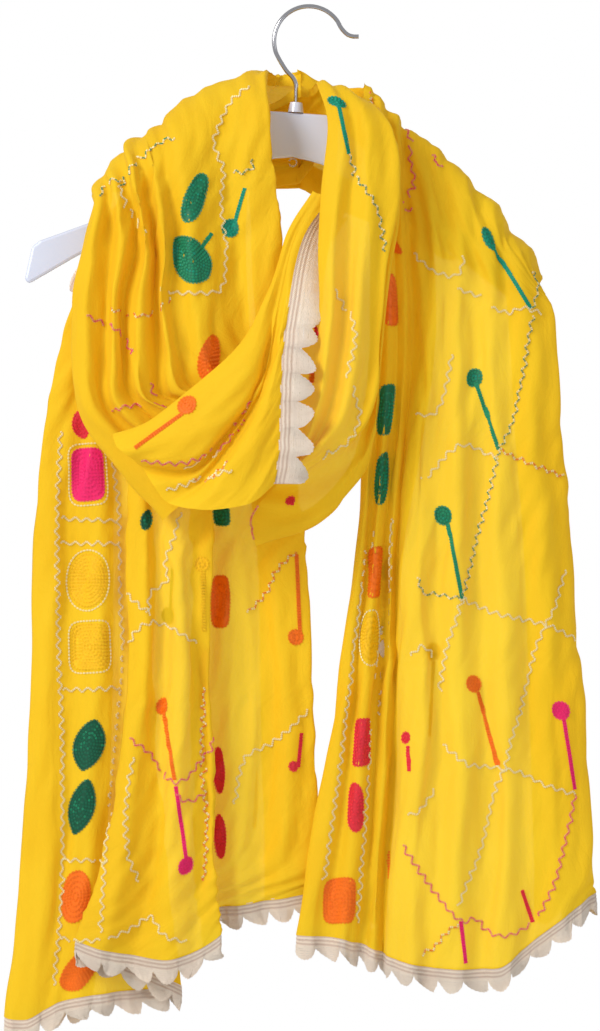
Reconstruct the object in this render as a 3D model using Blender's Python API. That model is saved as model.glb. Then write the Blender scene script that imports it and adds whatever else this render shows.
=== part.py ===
"""Dupatta stole, wound once round a plastic coat hanger with a chrome hook.

Metres, +Z up, front facing -Y.  The origin is the inside of the top of the hook, where it hangs
on a rail.  The tables are in millimetres: each row is one fold line of the cloth, from one
long edge of the stole to the other, and each group of columns is a place along its length.
"""

import math

import bmesh
import bpy
import numpy as np

MM = 0.001
WALL = 1.2                  # thickness of the cloth wall
LACE_WALL = 1.1
SEAM_GAP = 0.3              # between two sewn pieces
ACROSS = 2                  # grid cells between two fold lines
COWL_ALONG = 2              # grid cells between two places along the length
TAIL_ALONG = (2, 2, 2, 2, 2, 1, 1, 1, 1)

# Hook: its out-turned tip and the S bend to its stem, as (x, z), joined by an arc over the rail
WIRE_RADIUS = 1.8
HOOK_RADIUS = 28.0          # centre line of the arc
HOOK_ARC = range(22, 216, 14)       # degrees
HOOK_TIP = ((40.0, -22.6), (35.0, -22.4), (30.6, -20.6))
STEM_X = -10.4
STEM_FOOT_Z = -75.4
HOOK_STEM = ((-18.5, -49.5), (-13.0, -55.5), (-10.6, -61.0), (STEM_X, -68.0), (STEM_X, STEM_FOOT_Z))

# Hanger: half of its outline, as (x, z) from the middle of its top edge
HANGER_TOP_Z = -81.0
HANGER_THICKNESS = 7.0
HANGER_EDGE = 2.2           # rounding of its edges
HANGER_TILT = math.radians(4.0)
HANGER_TOP = ((26, -3), (60, -30), (110, -67), (160, -103), (197.7, -119.6))
HANGER_END = ((204, -125), (208, -152), (204, -155))
HANGER_FOOT = ((170, -132), (110, -93), (60, -60), (24, -43), (14, -40.6), (0, -38.6))
COLLAR_RADIUS, COLLAR_TOP_RADIUS, COLLAR_HEIGHT = 6.4, 5.0, 8.0
LOOP_WIRE, LOOP_RADIUS = 0.7, 3.2
LOOP_X, LOOP_Z = -13.0, -123.8
LOOP_ARC = range(200, 521, 32)      # degrees

# Nape: the band of four layers that passes behind the hook's stem
NAPE_X = -8.0
NAPE_FOOT_Z = -140.0
STACK = 0.3                 # how far its layers stand apart, as a share of their depth lower down
INNER_NAPE, OUTER_NAPE = (13.0, -57.0), (38.0, -44.0)    # y, and z of the top edge

# Where the layers pass over an arm
RIDGE_STEP = 0.04           # share of the ridge line over which its slope is taken
BEHIND_OUT, BEHIND_UP = 0.58, 0.75  # place behind the arm, as shares of the way to the ridge
TAIL_LEFT_CREST_Y, TAIL_RIGHT_CREST_Y = 3.0, 8.0
COWL_LEFT_CREST_Y, COWL_RIGHT_CREST_Y = 3.0, -20.0
TAIL_BROW_Y, TAIL_BROW_DROP, TAIL_BROW_OUT = -9.0, 15.0, 0.2    # just in front of the ridge
COWL_BROW_Y, COWL_BROW_DROP, COWL_BROW_OUT = -30.0, 0.35, 0.3
COWL_BROW_STACK = 0.45

# Lace edging: a woven band with fans along its free side
BAND_WIDTH = 8.0
FAN_PITCH = 24.0
FAN_HEIGHT = 11.0
FAN_ROUNDNESS = 0.7         # power of the sine that gives a fan's edge
BAND_SHARE = 0.42           # the lace's middle grid line, as a share of its width
LACE_CELL = 6.5
LACE_GAP = 2 * SEAM_GAP
HEM_FLARE = 0.25            # how far the hem lace follows the hang of the cloth above it
SIDE_LACE_SHARE, SHOULDER_LACE_SHARE = 0.7, 0.45    # of the full width, where the lace is turned in
SIDE_LACE_START = 11        # grid line of the right tail where its turned-in lace edge begins
SIDE_LACE_BEHIND = 1.6      # how far that lace lies behind the fold
SHOULDER_LACE_START = 7     # grid line of the left tail where a bit of its lace shows at the shoulder
SHOULDER_LACE_LENGTH = 26.0
SHOULDER_LACE_OUT = 0.5

# Places down the tails before each fold's own hem: height z, then for each tail the share of its
# folds' depths that is reached there, and the y by which the whole tail hangs further forward
TAIL_HEIGHTS = (-251, -345, -440, -560, -680)
TAIL_LEFT_SPREAD = (0.35, 0.6, 1.0, 1.0, 1.0, 1.0)
TAIL_LEFT_FORWARD = (-12.0, -8.0, 0.0, 0.0, 0.0, 0.0)
TAIL_RIGHT_SPREAD = (0.5, 0.7, 1.0, 1.0, 1.0, 1.0)
TAIL_RIGHT_FORWARD = (-14.0, -9.0, 0.0, 0.0, 0.0, 0.0)

# The same shares for the places of each stretch of the cowl, and the y that its folds close on
COWL_LEFT_SPREAD, COWL_LEFT_BASE = (1.0, 1.0, 1.0, 0.95, 0.85, 0.7), -24.0
COWL_RIGHT_SPREAD, COWL_RIGHT_BASE = (0.6, 0.9, 1.0, 1.0, 1.0, 1.0, 0.9, 0.8), -34.0
ROLL_SPREAD = (0.0, 0.05, 0.2, 0.7, 1.0, 1.0, 0.97)
ROLL_BASE = (-40.0, -43.0, -50.0, -58.0, -62.0, -62.0, -62.0)
ROLL_CLOSED_STEP, ROLL_CLOSED_MOST = 2.5, 8.0       # gap between its folds where they are closed
LACE_COWL_HEIGHTS, LACE_COWL_BACK = (-250, -170), (0.06, 0.7)   # it turns back higher up

# fold, x at each of the TAIL_HEIGHTS and at the hem, z of the hem, depth y
TAIL_LEFT_FOLDS = (
    ("back_edge", -170, -158, -158, -159, -164, -174, -795, 16),
    ("back_bow", -186, -185, -186, -188, -193, -206, -803, 13),
    ("outer_turn", -194, -213, -221, -224, -231, -245, -810, 3),
    ("outer_ridge", -182, -198, -203, -206, -210, -226, -812, -7),
    ("outer_dip", -171, -183, -185, -188, -193, -204, -800, -1),
    ("outer_crest", -161, -167, -166, -169, -177, -183, -794, -8),
    ("under_panel", -153, -151, -143, -145, -153, -145, -790, 4),
    ("inner_turn", -147, -135, -127, -128, -120, -108, -787, 0),
    ("panel_back", -142, -136, -128, -129, -122, -110, -782, -8),
    ("panel_turn", -137, -145, -145, -146, -164, -186, -748, -17),
    ("panel_ridge", -129, -132, -130, -132, -149, -165, -754, -27),
    ("panel_dip", -121, -121, -117, -119, -127, -140, -759, -18),
    ("panel_crest", -112, -107, -102, -105, -108, -113, -762, -27),
    ("panel_valley", -103, -95, -90, -91, -92, -89, -755, -19),
    ("panel_edge", -95, -81, -77, -80, -76, -70, -742, -17),
    ("fold_back", -90, -87, -84, -85, -82, -78, -739, -6),
    ("fold_inner", -84, -97, -94, -94, -92, -87, -732, 5),
    ("rear_start", -79, -82, -78, -78, -76, -73, -724, 12),
    ("rear_crest", -73, -66, -62, -62, -58, -55, -722, 6),
    ("rear_dip", -66, -50, -43, -42, -39, -38, -719, 13),
    ("rear_ridge", -57, -34, -24, -22, -19, -18, -716, 7),
    ("rear_turn", -48, -17, -2, 3, 9, 7, -710, 12),
    ("rear_bow", -57, -30, -17, -12, -9, -9, -709, 19),
    ("rear_edge", -70, -54, -42, -39, -36, -36, -709, 22),
)
TAIL_RIGHT_FOLDS = (
    ("back_edge", 102, 92, 76, 70, 60, 50, -736, 19),
    ("back_bow", 70, 62, 50, 38, 22, 14, -739, 16),
    ("patch_turn", 50, 46, 36, 21, 0, -10, -744, 0),
    ("patch_ridge", 54, 50, 41, 28, 11, 1, -745, -8),
    ("patch_dip", 58, 54, 47, 36, 23, 14, -746, -1),
    ("patch_crest", 63, 59, 52, 44, 34, 26, -747, -9),
    ("patch_side", 67, 63, 57, 50, 42, 34, -750, -5),
    ("tuck_deep", 71, 67, 61, 55, 48, 42, -752, 2),
    ("tuck_ridge", 77, 72, 66, 63, 56, 52, -756, -6),
    ("lace_hollow", 83, 78, 71, 70, 64, 60, -759, 3),
    ("front_turn", 89, 82, 75, 76, 70, 66, -762, -13),
    ("front_ridge", 98, 90, 88, 91, 86, 82, -766, -23),
    ("front_dip", 108, 102, 102, 106, 102, 98, -769, -15),
    ("front_crest", 120, 118, 118, 123, 122, 118, -770, -25),
    ("front_valley", 132, 132, 134, 139, 140, 138, -770, -16),
    ("side_ridge", 146, 147, 152, 157, 158, 156, -767, -25),
    ("side_dip", 158, 162, 168, 174, 177, 177, -750, -14),
    ("side_crest", 173, 180, 187, 194, 197, 201, -731, -21),
    ("side_edge", 189, 195, 204, 212, 219, 223, -715, -11),
    ("side_turn", 197, 203, 211, 219, 226, 231, -710, 0),
    ("rear_bow", 181, 191, 201, 207, 213, 215, -715, 12),
    ("rear_edge", 160, 166, 174, 178, 182, 182, -720, 16),
)

# fold, depth y, then (x, z) at places from the arm down and round the bottom of the cowl
COWL_LEFT_FOLDS = (
    ("back_edge", -31, (-159, -191), (-161, -235), (-161, -283), (-153, -322), (-126, -357), (-84, -384)),
    ("back_bow", -34, (-172, -191), (-178, -235), (-180, -283), (-174, -325), (-148, -362), (-106, -402)),
    ("outer_turn", -43, (-179, -191), (-187, -235), (-189, -280), (-182, -328), (-154, -365), (-116, -411)),
    ("fold_1", -56, (-170, -191), (-176, -235), (-177, -280), (-169, -322), (-142, -357), (-105, -402)),
    ("dip_1", -44, (-158, -191), (-161, -235), (-163, -280), (-162, -317), (-134, -350), (-95, -394)),
    ("fold_2", -58, (-148, -191), (-154, -235), (-154, -280), (-153, -317), (-126, -344), (-86, -387)),
    ("dip_2", -42, (-137, -191), (-146, -235), (-147, -282), (-144, -310), (-118, -336), (-75, -382)),
    ("fold_3", -60, (-129, -191), (-134, -235), (-135, -277), (-131, -312), (-108, -331), (-67, -378)),
    ("dip_3", -41, (-122, -191), (-123, -235), (-121, -277), (-118, -310), (-96, -324), (-58, -373)),
    ("fold_4", -60, (-114, -191), (-117, -235), (-112, -273), (-104, -306), (-83, -318), (-50, -368)),
    ("dip_4", -45, (-106, -191), (-109, -235), (-102, -277), (-94, -304), (-72, -314), (-44, -363)),
    ("fold_5", -55, (-93, -191), (-90, -234), (-86, -271), (-77, -298), (-58, -309), (-37, -358)),
    ("hollow_1", -46, (-78, -191), (-74, -227), (-72, -263), (-64, -288), (-48, -302), (-31, -354)),
    ("hollow_2", -34, (-62, -191), (-57, -223), (-53, -256), (-46, -277), (-34, -296), (-25, -349)),
    ("inner_fold", -40, (-44, -187), (-40, -219), (-36, -247), (-31, -267), (-22, -291), (-18, -344)),
    ("inner_turn", -38, (-23, -175), (-20, -205), (-19, -233), (-18, -256), (-14, -283), (-13, -339)),
    ("inner_bow", -29, (-31, -181), (-30, -210), (-30, -238), (-28, -261), (-23, -285), (-18, -339)),
    ("inner_edge", -24, (-46, -184), (-45, -213), (-43, -240), (-41, -263), (-35, -288), (-27, -339)),
)
COWL_ROLL_FOLDS = (
    ("under_edge", -62, (20, -160), (0, -197), (-20, -242), (-47, -286), (-86, -325), (-116, -344), (-143, -352)),
    ("roll_back", -68, (5, -154), (-16, -190), (-32, -238), (-56, -281), (-95, -318), (-124, -339), (-152, -349)),
    ("roll_turn", -76, (3, -151), (-18, -187), (-34, -234), (-59, -277), (-98, -313), (-126, -334), (-154, -344)),
    ("roll_face", -89, (5, -152), (-16, -188), (-32, -238), (-50, -288), (-83, -330), (-114, -349), (-150, -354)),
    ("roll_lip", -86, (7, -153), (-15, -188), (-30, -242), (-41, -298), (-70, -341), (-99, -366), (-140, -362)),
    ("crease", -73, (8, -153), (-13, -188), (-27, -242), (-38, -301), (-66, -345), (-94, -371), (-131, -370)),
    ("u_fold", -79, (10, -154), (-12, -189), (-25, -243), (-37, -302), (-63, -348), (-90, -377), (-122, -384)),
    ("u_rim", -77, (11, -154), (-11, -189), (-23, -243), (-35, -304), (-61, -351), (-85, -382), (-110, -398)),
    ("big_turn", -91, (12, -154), (-10, -189), (-21, -243), (-33, -304), (-55, -353), (-75, -382), (-86, -403)),
    ("big_face", -97, (14, -154), (-8, -189), (-19, -242), (-29, -302), (-44, -352), (-57, -382), (-64, -402)),
    ("big_flat", -94, (16, -154), (-6, -189), (-17, -242), (-25, -298), (-33, -347), (-39, -375), (-44, -397)),
    ("lace_seam", -89, (18, -155), (-4, -189), (-15, -240), (-21, -294), (-22, -339), (-24, -363), (-26, -383)),
)
COWL_RIGHT_FOLDS = (
    ("left_edge", -50, (23, -99), (20, -155), (15, -203), (7, -246), (-11, -288), (-17, -332), (-15, -362), (-16, -370)),
    ("left_turn", -62, (15, -99), (10, -155), (7, -203), (8, -251), (4, -299), (-4, -335), (-10, -359), (-18, -365)),
    ("fold_1", -74, (27, -99), (22, -155), (18, -203), (17, -251), (11, -301), (2, -338), (-10, -362), (-18, -367)),
    ("dip_1", -63, (36, -99), (33, -155), (30, -204), (27, -253), (22, -303), (10, -340), (-9, -364), (-18, -370)),
    ("fold_2", -75, (46, -99), (45, -155), (42, -206), (38, -255), (32, -306), (18, -342), (-8, -366), (-18, -372)),
    ("dip_2", -67, (57, -100), (59, -155), (54, -208), (49, -258), (42, -309), (26, -346), (-7, -369), (-19, -374)),
    ("lobe_turn", -64, (66, -101), (71, -155), (62, -210), (58, -260), (52, -313), (35, -348), (-6, -372), (-20, -378)),
    ("hollow", -48, (60, -106), (63, -159), (55, -214), (50, -264), (42, -317), (28, -354), (-4, -378), (-23, -382)),
    ("low_lip", -45, (63, -109), (66, -163), (58, -219), (54, -269), (49, -323), (34, -362), (-1, -386), (-31, -389)),
    ("low_face", -49, (67, -112), (69, -167), (62, -225), (57, -275), (52, -334), (39, -368), (6, -402), (-46, -410)),
    ("low_turn", -42, (70, -115), (70, -173), (62, -230), (57, -283), (50, -342), (42, -374), (9, -415), (-42, -432)),
    ("low_bow", -34, (63, -117), (63, -176), (55, -234), (49, -285), (42, -339), (33, -366), (2, -400), (-44, -418)),
)

# Ridge lines where the cloth passes over the hanger's arms, from the shoulder end to the neck
LEFT_COWL_RIDGE = ((-173, -145), (-160, -124), (-143, -103), (-115, -85), (-87, -58), (-56, -47), (-36, -45))
LEFT_TAIL_RIDGE = ((-150, -140), (-136, -130), (-118, -115.6), (-100, -101.6), (-80, -87), (-62, -76), (-52, -72))
RIGHT_TAIL_RIDGE = ((187, -206), (172, -187), (156, -169), (138, -146), (118, -128), (90, -102), (66, -78), (48, -59))
RIGHT_COWL_RIDGE = ((50, -80), (38, -70), (26, -63), (14, -60), (6, -60))


def catmull_rom(points, cells):
    """Smooth curve through the points along axis 0, with this many cells in each span."""
    points = np.asarray(points, float)
    spans = len(points) - 1
    counts = cells if isinstance(cells, tuple) else (cells,) * spans
    padded = np.concatenate([[2 * points[0] - points[1]], points, [2 * points[-1] - points[-2]]])
    rows = []
    for i, count in enumerate(counts):
        a, b, c, d = padded[i : i + 4]
        for u in np.arange(count) / count:
            rows.append(b + 0.5 * u * (c - a + u * (2 * a - 5 * b + 4 * c - d + u * (3 * (b - c) + d - a))))
    return np.array(rows + [points[-1]])


def along_line(line, share):
    """The point this share of the way along a line of few points, by its point count."""
    place = min(max(share, 0.0), 1.0) * (len(line) - 1)
    i = min(int(place), len(line) - 2)
    return np.asarray(line[i], float) + (place - i) * (np.asarray(line[i + 1], float) - line[i])


def ends_of(xs):
    """The x nearest the neck, and the x furthest out on the arm."""
    return min(xs, key=abs), max(xs, key=abs)


def over_the_arm(share, ridge, under, proud, nape, crest_y, side):
    """Three places of a fold line: at the nape's middle, behind the arm, and on its ridge.

    share is 0 at the shoulder's end of the arm and 1 at the neck.  under says how deep the fold
    lies below the outermost one, and proud how far it stands out from the innermost one.
    """
    slope = along_line(ridge, share + RIDGE_STEP) - along_line(ridge, share - RIDGE_STEP)
    upright = np.array((-slope[1], slope[0])) * math.copysign(1.0, slope[0]) / math.hypot(*slope)
    crest_x, crest_z = along_line(ridge, share) - STACK * under * upright
    nape_x = NAPE_X + side * SEAM_GAP
    nape_y, nape_top = nape
    nape_z = NAPE_FOOT_Z + share * (nape_top - NAPE_FOOT_Z)
    layer_y = nape_y + STACK * proud
    behind_x = NAPE_X + BEHIND_OUT * (crest_x - NAPE_X)
    behind_z = nape_z + BEHIND_UP * (crest_z - nape_z)
    return [(nape_x, layer_y, nape_z), (behind_x, layer_y, behind_z), (crest_x, crest_y, crest_z)]


def tail_net(folds, ridge, nape, crest_y, side, spread, forward):
    """Fold lines of a tail: over the arm from the nape, then down to the hem."""
    depths = [row[-1] for row in folds]
    back, front = max(depths), min(depths)
    neck_x, end_x = ends_of([row[1] for row in folds])
    net = []
    for row in folds:
        xs, hem_z, depth = row[1:7], row[7], row[8]
        share = (end_x - xs[0]) / (end_x - neck_x)
        line = over_the_arm(share, ridge, depth - front, back - depth, nape, crest_y, side)
        crest_x, _, crest_z = line[-1]
        brow_x = crest_x + TAIL_BROW_OUT * (xs[0] - crest_x)
        line.append((brow_x, TAIL_BROW_Y - STACK * (back - depth), crest_z - TAIL_BROW_DROP))
        for x, z, scale, step in zip(xs, TAIL_HEIGHTS + (hem_z,), spread, forward):
            line.append((x, step + scale * depth, z))
        net.append(line)
    return np.array(net)


def cowl_side_net(folds, ridge, nape, crest_y, side, spread, base, with_brow):
    """Fold lines of a cowl limb that passes over the arm and down the front."""
    depths = [row[1] for row in folds]
    back, front = max(depths), min(depths)
    neck_x, end_x = ends_of([row[2][0] for row in folds])
    net = []
    for row in folds:
        depth, places = row[1], row[2:]
        first_x, first_z = places[0]
        share = (end_x - first_x) / (end_x - neck_x)
        line = over_the_arm(share, ridge, depth - front, back - depth, nape, crest_y, side)
        if with_brow:
            crest_x, _, crest_z = line[-1]
            brow_x = crest_x + COWL_BROW_OUT * (first_x - crest_x)
            brow_z = crest_z + COWL_BROW_DROP * (first_z - crest_z)
            line.append((brow_x, COWL_BROW_Y - COWL_BROW_STACK * (back - depth), brow_z))
        for (x, z), scale in zip(places, spread):
            line.append((x, base + scale * (depth - base), z))
        net.append(line)
    return np.array(net)


def roll_net():
    """Fold lines of the roll, which fan out from under the right limb's edge."""
    back = COWL_ROLL_FOLDS[0][1]
    net = []
    for i, row in enumerate(COWL_ROLL_FOLDS):
        depth = row[1] - back
        closed = -min(ROLL_CLOSED_MOST, ROLL_CLOSED_STEP * i)
        line = []
        for (x, z), share, base in zip(row[2:], ROLL_SPREAD, ROLL_BASE):
            line.append((x, base + (1 - share) * closed + share * depth, z))
        net.append(line)
    return np.array(net)


def surface(net, across, along):
    """Grid of points on the cloth: [across the width][along the length][xyz]."""
    lengthwise = catmull_rom(np.swapaxes(net, 0, 1), along)
    return catmull_rom(np.swapaxes(lengthwise, 0, 1), across)


def material(name, colour, roughness, metallic=0.0):
    made = bpy.data.materials.new(name)
    made.use_nodes = True
    shader = made.node_tree.nodes["Principled BSDF"]
    shader.inputs["Base Color"].default_value = (*colour, 1.0)
    shader.inputs["Roughness"].default_value = roughness
    shader.inputs["Metallic"].default_value = metallic
    return made


def add_object(name, mesh, look):
    made = bpy.data.objects.new(name, mesh)
    bpy.context.collection.objects.link(made)
    mesh.materials.append(look)
    return made


def sheet(name, points, thickness, look):
    """A wall of this thickness whose middle is the grid of points."""
    count_u, count_v = points.shape[:2]
    build = bmesh.new()
    bmesh.ops.create_grid(build, x_segments=count_u - 1, y_segments=count_v - 1, size=0.5)
    build.verts.ensure_lookup_table()
    for vert in build.verts:
        i = round((vert.co.x + 0.5) * (count_u - 1))
        j = round((vert.co.y + 0.5) * (count_v - 1))
        vert.co = points[i, j] * MM
    mesh = bpy.data.meshes.new(name)
    build.to_mesh(mesh)
    build.free()
    made = add_object(name, mesh, look)
    wall = made.modifiers.new("wall", "SOLIDIFY")
    wall.thickness = thickness * MM
    wall.offset = 0.0
    mesh.shade_smooth()
    return made


def fan_reach(distance):
    """How far the lace reaches from its seam, this far along it."""
    wave = abs(math.sin(math.pi * distance / FAN_PITCH))
    return BAND_WIDTH + FAN_HEIGHT * wave**FAN_ROUNDNESS


def lace_strip(name, seam, outward, look, share=1.0):
    """Lace along a seam line: a straight band, then fans, this share of its width in view.

    outward points away from the cloth, at each point of the seam.
    """
    steps = np.linalg.norm(np.diff(seam, axis=0), axis=1)
    length = steps.sum()
    stretch = length / (max(1, round(length / FAN_PITCH)) * FAN_PITCH)
    rows, travelled = [], 0.0
    for i, step in enumerate(steps):
        cells = max(1, round(step / LACE_CELL))
        last = i == len(steps) - 1
        for j in range(cells + last):
            u = j / cells
            start = (1 - u) * seam[i] + u * seam[i + 1]
            away = (1 - u) * outward[i] + u * outward[i + 1]
            away = away / np.linalg.norm(away)
            far = share * fan_reach((travelled + u * step) / stretch)
            rows.append([start + away * reach for reach in (LACE_GAP, BAND_SHARE * far, far)])
        travelled += step
    return sheet(name, np.array(rows), LACE_WALL, look)


def make_hanger(look):
    """Flat moulded arms and centre plate, one outline extruded and rounded."""
    right = HANGER_TOP + HANGER_END + HANGER_FOOT
    left = (HANGER_END + HANGER_FOOT[:-1])[::-1]
    outline = [(-x, z) for x, z in HANGER_TOP[::-1]] + list(right) + [(-x, z) for x, z in left]
    build = bmesh.new()
    ring = [build.verts.new((x * MM, -HANGER_THICKNESS / 2 * MM, z * MM)) for x, z in outline]
    face = build.faces.new(ring)
    made = bmesh.ops.extrude_face_region(build, geom=[face])
    moved = [v for v in made["geom"] if isinstance(v, bmesh.types.BMVert)]
    bmesh.ops.translate(build, verts=moved, vec=(0, HANGER_THICKNESS * MM, 0))
    bmesh.ops.recalc_face_normals(build, faces=build.faces)
    mesh = bpy.data.meshes.new("hanger_body")
    build.to_mesh(mesh)
    build.free()
    body = add_object("hanger_body", mesh, look)
    body.location = (STEM_X * MM, 0, HANGER_TOP_Z * MM)
    body.rotation_euler = (0, HANGER_TILT, 0)
    edge = body.modifiers.new("edge", "BEVEL")
    edge.width = HANGER_EDGE * MM
    edge.segments = 2
    edge.limit_method = "ANGLE"


def make_collar(look):
    build = bmesh.new()
    bmesh.ops.create_cone(
        build, cap_ends=True, segments=24, radius1=COLLAR_RADIUS * MM,
        radius2=COLLAR_TOP_RADIUS * MM, depth=COLLAR_HEIGHT * MM,
    )
    mesh = bpy.data.meshes.new("hanger_collar")
    build.to_mesh(mesh)
    build.free()
    mesh.shade_smooth()
    collar = add_object("hanger_collar", mesh, look)
    plate_z = HANGER_TOP_Z + HANGER_TOP[0][1]
    collar.location = (STEM_X * MM, 0, (plate_z + SEAM_GAP + COLLAR_HEIGHT / 2) * MM)
    collar.rotation_euler = (0, HANGER_TILT, 0)


def wire(name, points, radius, look, resolution=2):
    curve = bpy.data.curves.new(name, "CURVE")
    curve.dimensions = "3D"
    curve.bevel_depth = radius * MM
    curve.bevel_resolution = resolution
    curve.use_fill_caps = True
    curve.resolution_u = 1
    line = curve.splines.new("POLY")
    line.points.add(len(points) - 1)
    for point, place in zip(line.points, points):
        point.co = (place[0] * MM, place[1] * MM, place[2] * MM, 1.0)
    made = bpy.data.objects.new(name, curve)
    bpy.context.collection.objects.link(made)
    curve.materials.append(look)
    return made


def arc(centre_x, centre_z, radius, degrees):
    turns = [math.radians(degree) for degree in degrees]
    return [(centre_x + radius * math.cos(t), 0.0, centre_z + radius * math.sin(t)) for t in turns]


def make_hook(look):
    """Round chrome wire: an out-turned tip, the arc over the rail, and an S bend to the stem."""
    route = [(x, 0.0, z) for x, z in HOOK_TIP]
    route += arc(0.0, WIRE_RADIUS - HOOK_RADIUS, HOOK_RADIUS, HOOK_ARC)
    route += [(x, 0.0, z) for x, z in HOOK_STEM]
    wire("hook", route, WIRE_RADIUS, look)


def make_strap_loop(look):
    """Small clear loop moulded under the middle of the plate."""
    wire("strap_loop", arc(LOOP_X, LOOP_Z, LOOP_RADIUS, LOOP_ARC), LOOP_WIRE, look, 1)


def clear_scene():
    for item in list(bpy.data.objects):
        bpy.data.objects.remove(item)


def main():
    clear_scene()
    chrome = material("chrome", (0.72, 0.72, 0.74), 0.15, 1.0)
    plastic = material("white_plastic", (0.86, 0.88, 0.93), 0.3)
    clear = material("clear_plastic", (0.9, 0.9, 0.9), 0.1)
    georgette = material("yellow_georgette", (0.95, 0.6, 0.02), 0.8)
    lace = material("cream_lace", (0.75, 0.62, 0.52), 0.85)

    make_hook(chrome)
    make_hanger(plastic)
    make_collar(plastic)
    make_strap_loop(clear)

    net = tail_net(
        TAIL_LEFT_FOLDS, LEFT_TAIL_RIDGE, INNER_NAPE, TAIL_LEFT_CREST_Y, -1,
        TAIL_LEFT_SPREAD, TAIL_LEFT_FORWARD,
    )
    left = surface(net, ACROSS, TAIL_ALONG)
    net = tail_net(
        TAIL_RIGHT_FOLDS, RIGHT_TAIL_RIDGE, OUTER_NAPE, TAIL_RIGHT_CREST_Y, 1,
        TAIL_RIGHT_SPREAD, TAIL_RIGHT_FORWARD,
    )
    right = surface(net, ACROSS, TAIL_ALONG)
    sheet("tail_left", left, WALL, georgette)
    sheet("tail_right", right, WALL, georgette)
    for name, tail in (("lace_hem_left", left), ("lace_hem_right", right)):
        hang = tail[:, -1] - tail[:, -2]
        hang = hang / np.linalg.norm(hang, axis=1)[:, None]
        lace_strip(name, tail[:, -1], HEM_FLARE * hang + (0.0, 0.0, -1.0), lace)

    fold = [row[0] for row in TAIL_RIGHT_FOLDS].index("lace_hollow")
    seam = right[fold * ACROSS, SIDE_LACE_START:] + (0.0, SIDE_LACE_BEHIND, 0.0)
    lace_strip("lace_side_right", seam, np.tile((-1.0, 0.1, 0.0), (len(seam), 1)), lace, SIDE_LACE_SHARE)
    fold = [row[0] for row in TAIL_LEFT_FOLDS].index("outer_turn")
    top, foot = left[fold * ACROSS, SHOULDER_LACE_START : SHOULDER_LACE_START + 2]
    share = SHOULDER_LACE_LENGTH / np.linalg.norm(foot - top)
    seam = np.array([top + u * share * (foot - top) for u in (0, 1 / 3, 2 / 3, 1)])
    seam -= (SHOULDER_LACE_OUT, 0.0, 0.0)
    lace_strip("lace_shoulder", seam, np.tile((-1.0, 0.0, 0.0), (len(seam), 1)), lace, SHOULDER_LACE_SHARE)

    net = cowl_side_net(
        COWL_LEFT_FOLDS, LEFT_COWL_RIDGE, OUTER_NAPE, COWL_LEFT_CREST_Y, -1,
        COWL_LEFT_SPREAD, COWL_LEFT_BASE, True,
    )
    sheet("cowl_left", surface(net, ACROSS, COWL_ALONG), WALL, georgette)
    net = cowl_side_net(
        COWL_RIGHT_FOLDS, RIGHT_COWL_RIDGE, INNER_NAPE, COWL_RIGHT_CREST_Y, 1,
        COWL_RIGHT_SPREAD, COWL_RIGHT_BASE, False,
    )
    sheet("cowl_right", surface(net, ACROSS, COWL_ALONG), WALL, georgette)
    roll = surface(roll_net(), ACROSS, COWL_ALONG)
    sheet("cowl_roll", roll, WALL, georgette)
    seam = roll[-1]
    turned_back = np.interp(seam[:, 2], LACE_COWL_HEIGHTS, LACE_COWL_BACK)
    outward = np.stack([np.ones(len(seam)), turned_back, np.zeros(len(seam))], axis=1)
    lace_strip("lace_cowl", seam, outward, lace)


main()
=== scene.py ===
"""Looks of a sheer yellow dupatta stole, looped once round a moulded coat hanger.

Lengths in the cloth's tables are millimetres, as seen from the front: x to the right, z up and y
away from the viewer, from the inside of the top of the hook.
"""

import math

import bmesh
import bpy
import numpy as np
from mathutils import Matrix, Vector


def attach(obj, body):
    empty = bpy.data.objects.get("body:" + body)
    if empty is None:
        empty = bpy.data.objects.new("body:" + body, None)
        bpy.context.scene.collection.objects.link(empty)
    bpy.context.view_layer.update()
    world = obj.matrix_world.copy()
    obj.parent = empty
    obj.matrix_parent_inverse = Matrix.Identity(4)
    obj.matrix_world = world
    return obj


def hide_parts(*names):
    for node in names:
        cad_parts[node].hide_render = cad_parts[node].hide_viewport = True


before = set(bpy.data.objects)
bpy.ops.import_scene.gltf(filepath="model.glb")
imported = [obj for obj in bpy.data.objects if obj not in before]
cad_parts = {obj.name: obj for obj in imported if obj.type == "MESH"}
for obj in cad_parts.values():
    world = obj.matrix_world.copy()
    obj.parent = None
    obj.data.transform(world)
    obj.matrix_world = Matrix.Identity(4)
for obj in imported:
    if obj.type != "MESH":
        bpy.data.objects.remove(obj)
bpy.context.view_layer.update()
MM = 0.001

# Camera, floor and light.  A long lens looks straight at the middle of the stole from 3 m, over
# a pale floor, between a large soft key light, a fill and a light behind the cloth.
CAMERA_AT = Vector((-0.0072, -3.0, -0.4076))
VIEW_HEIGHT, VIEW_DEPTH = 0.8248, 2.985      # height of the view, and how far off it is that high
SENSOR = 36.0
LIGHTS = (
    # name, place, size, watts, colour
    ("key", (-1.75, -1.75, 0.85), 1.0, 53.0, (1.0, 0.98, 0.95)),
    ("fill", (1.7, -1.9, -0.2), 1.6, 9.0, (0.96, 0.98, 1.0)),
    ("behind", (0.3, 1.7, 0.1), 1.4, 9.0, (1.0, 0.99, 0.97)),
)
LIT_POINT = Vector((0.0, 0.0, -0.4))
SKY_STRENGTH = 0.53
FLOOR_Z, FLOOR_RADIUS, FLOOR_COLOUR = -1.12, 1.25, (0.85, 0.85, 0.84, 1)
WHITE = (1.0, 1.0, 1.0, 1)


def put(name, data):
    """An object of this mesh, curve, lamp or camera, at the scene's origin."""
    thing = bpy.data.objects.new(name, data)
    bpy.context.collection.objects.link(thing)
    return thing


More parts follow.
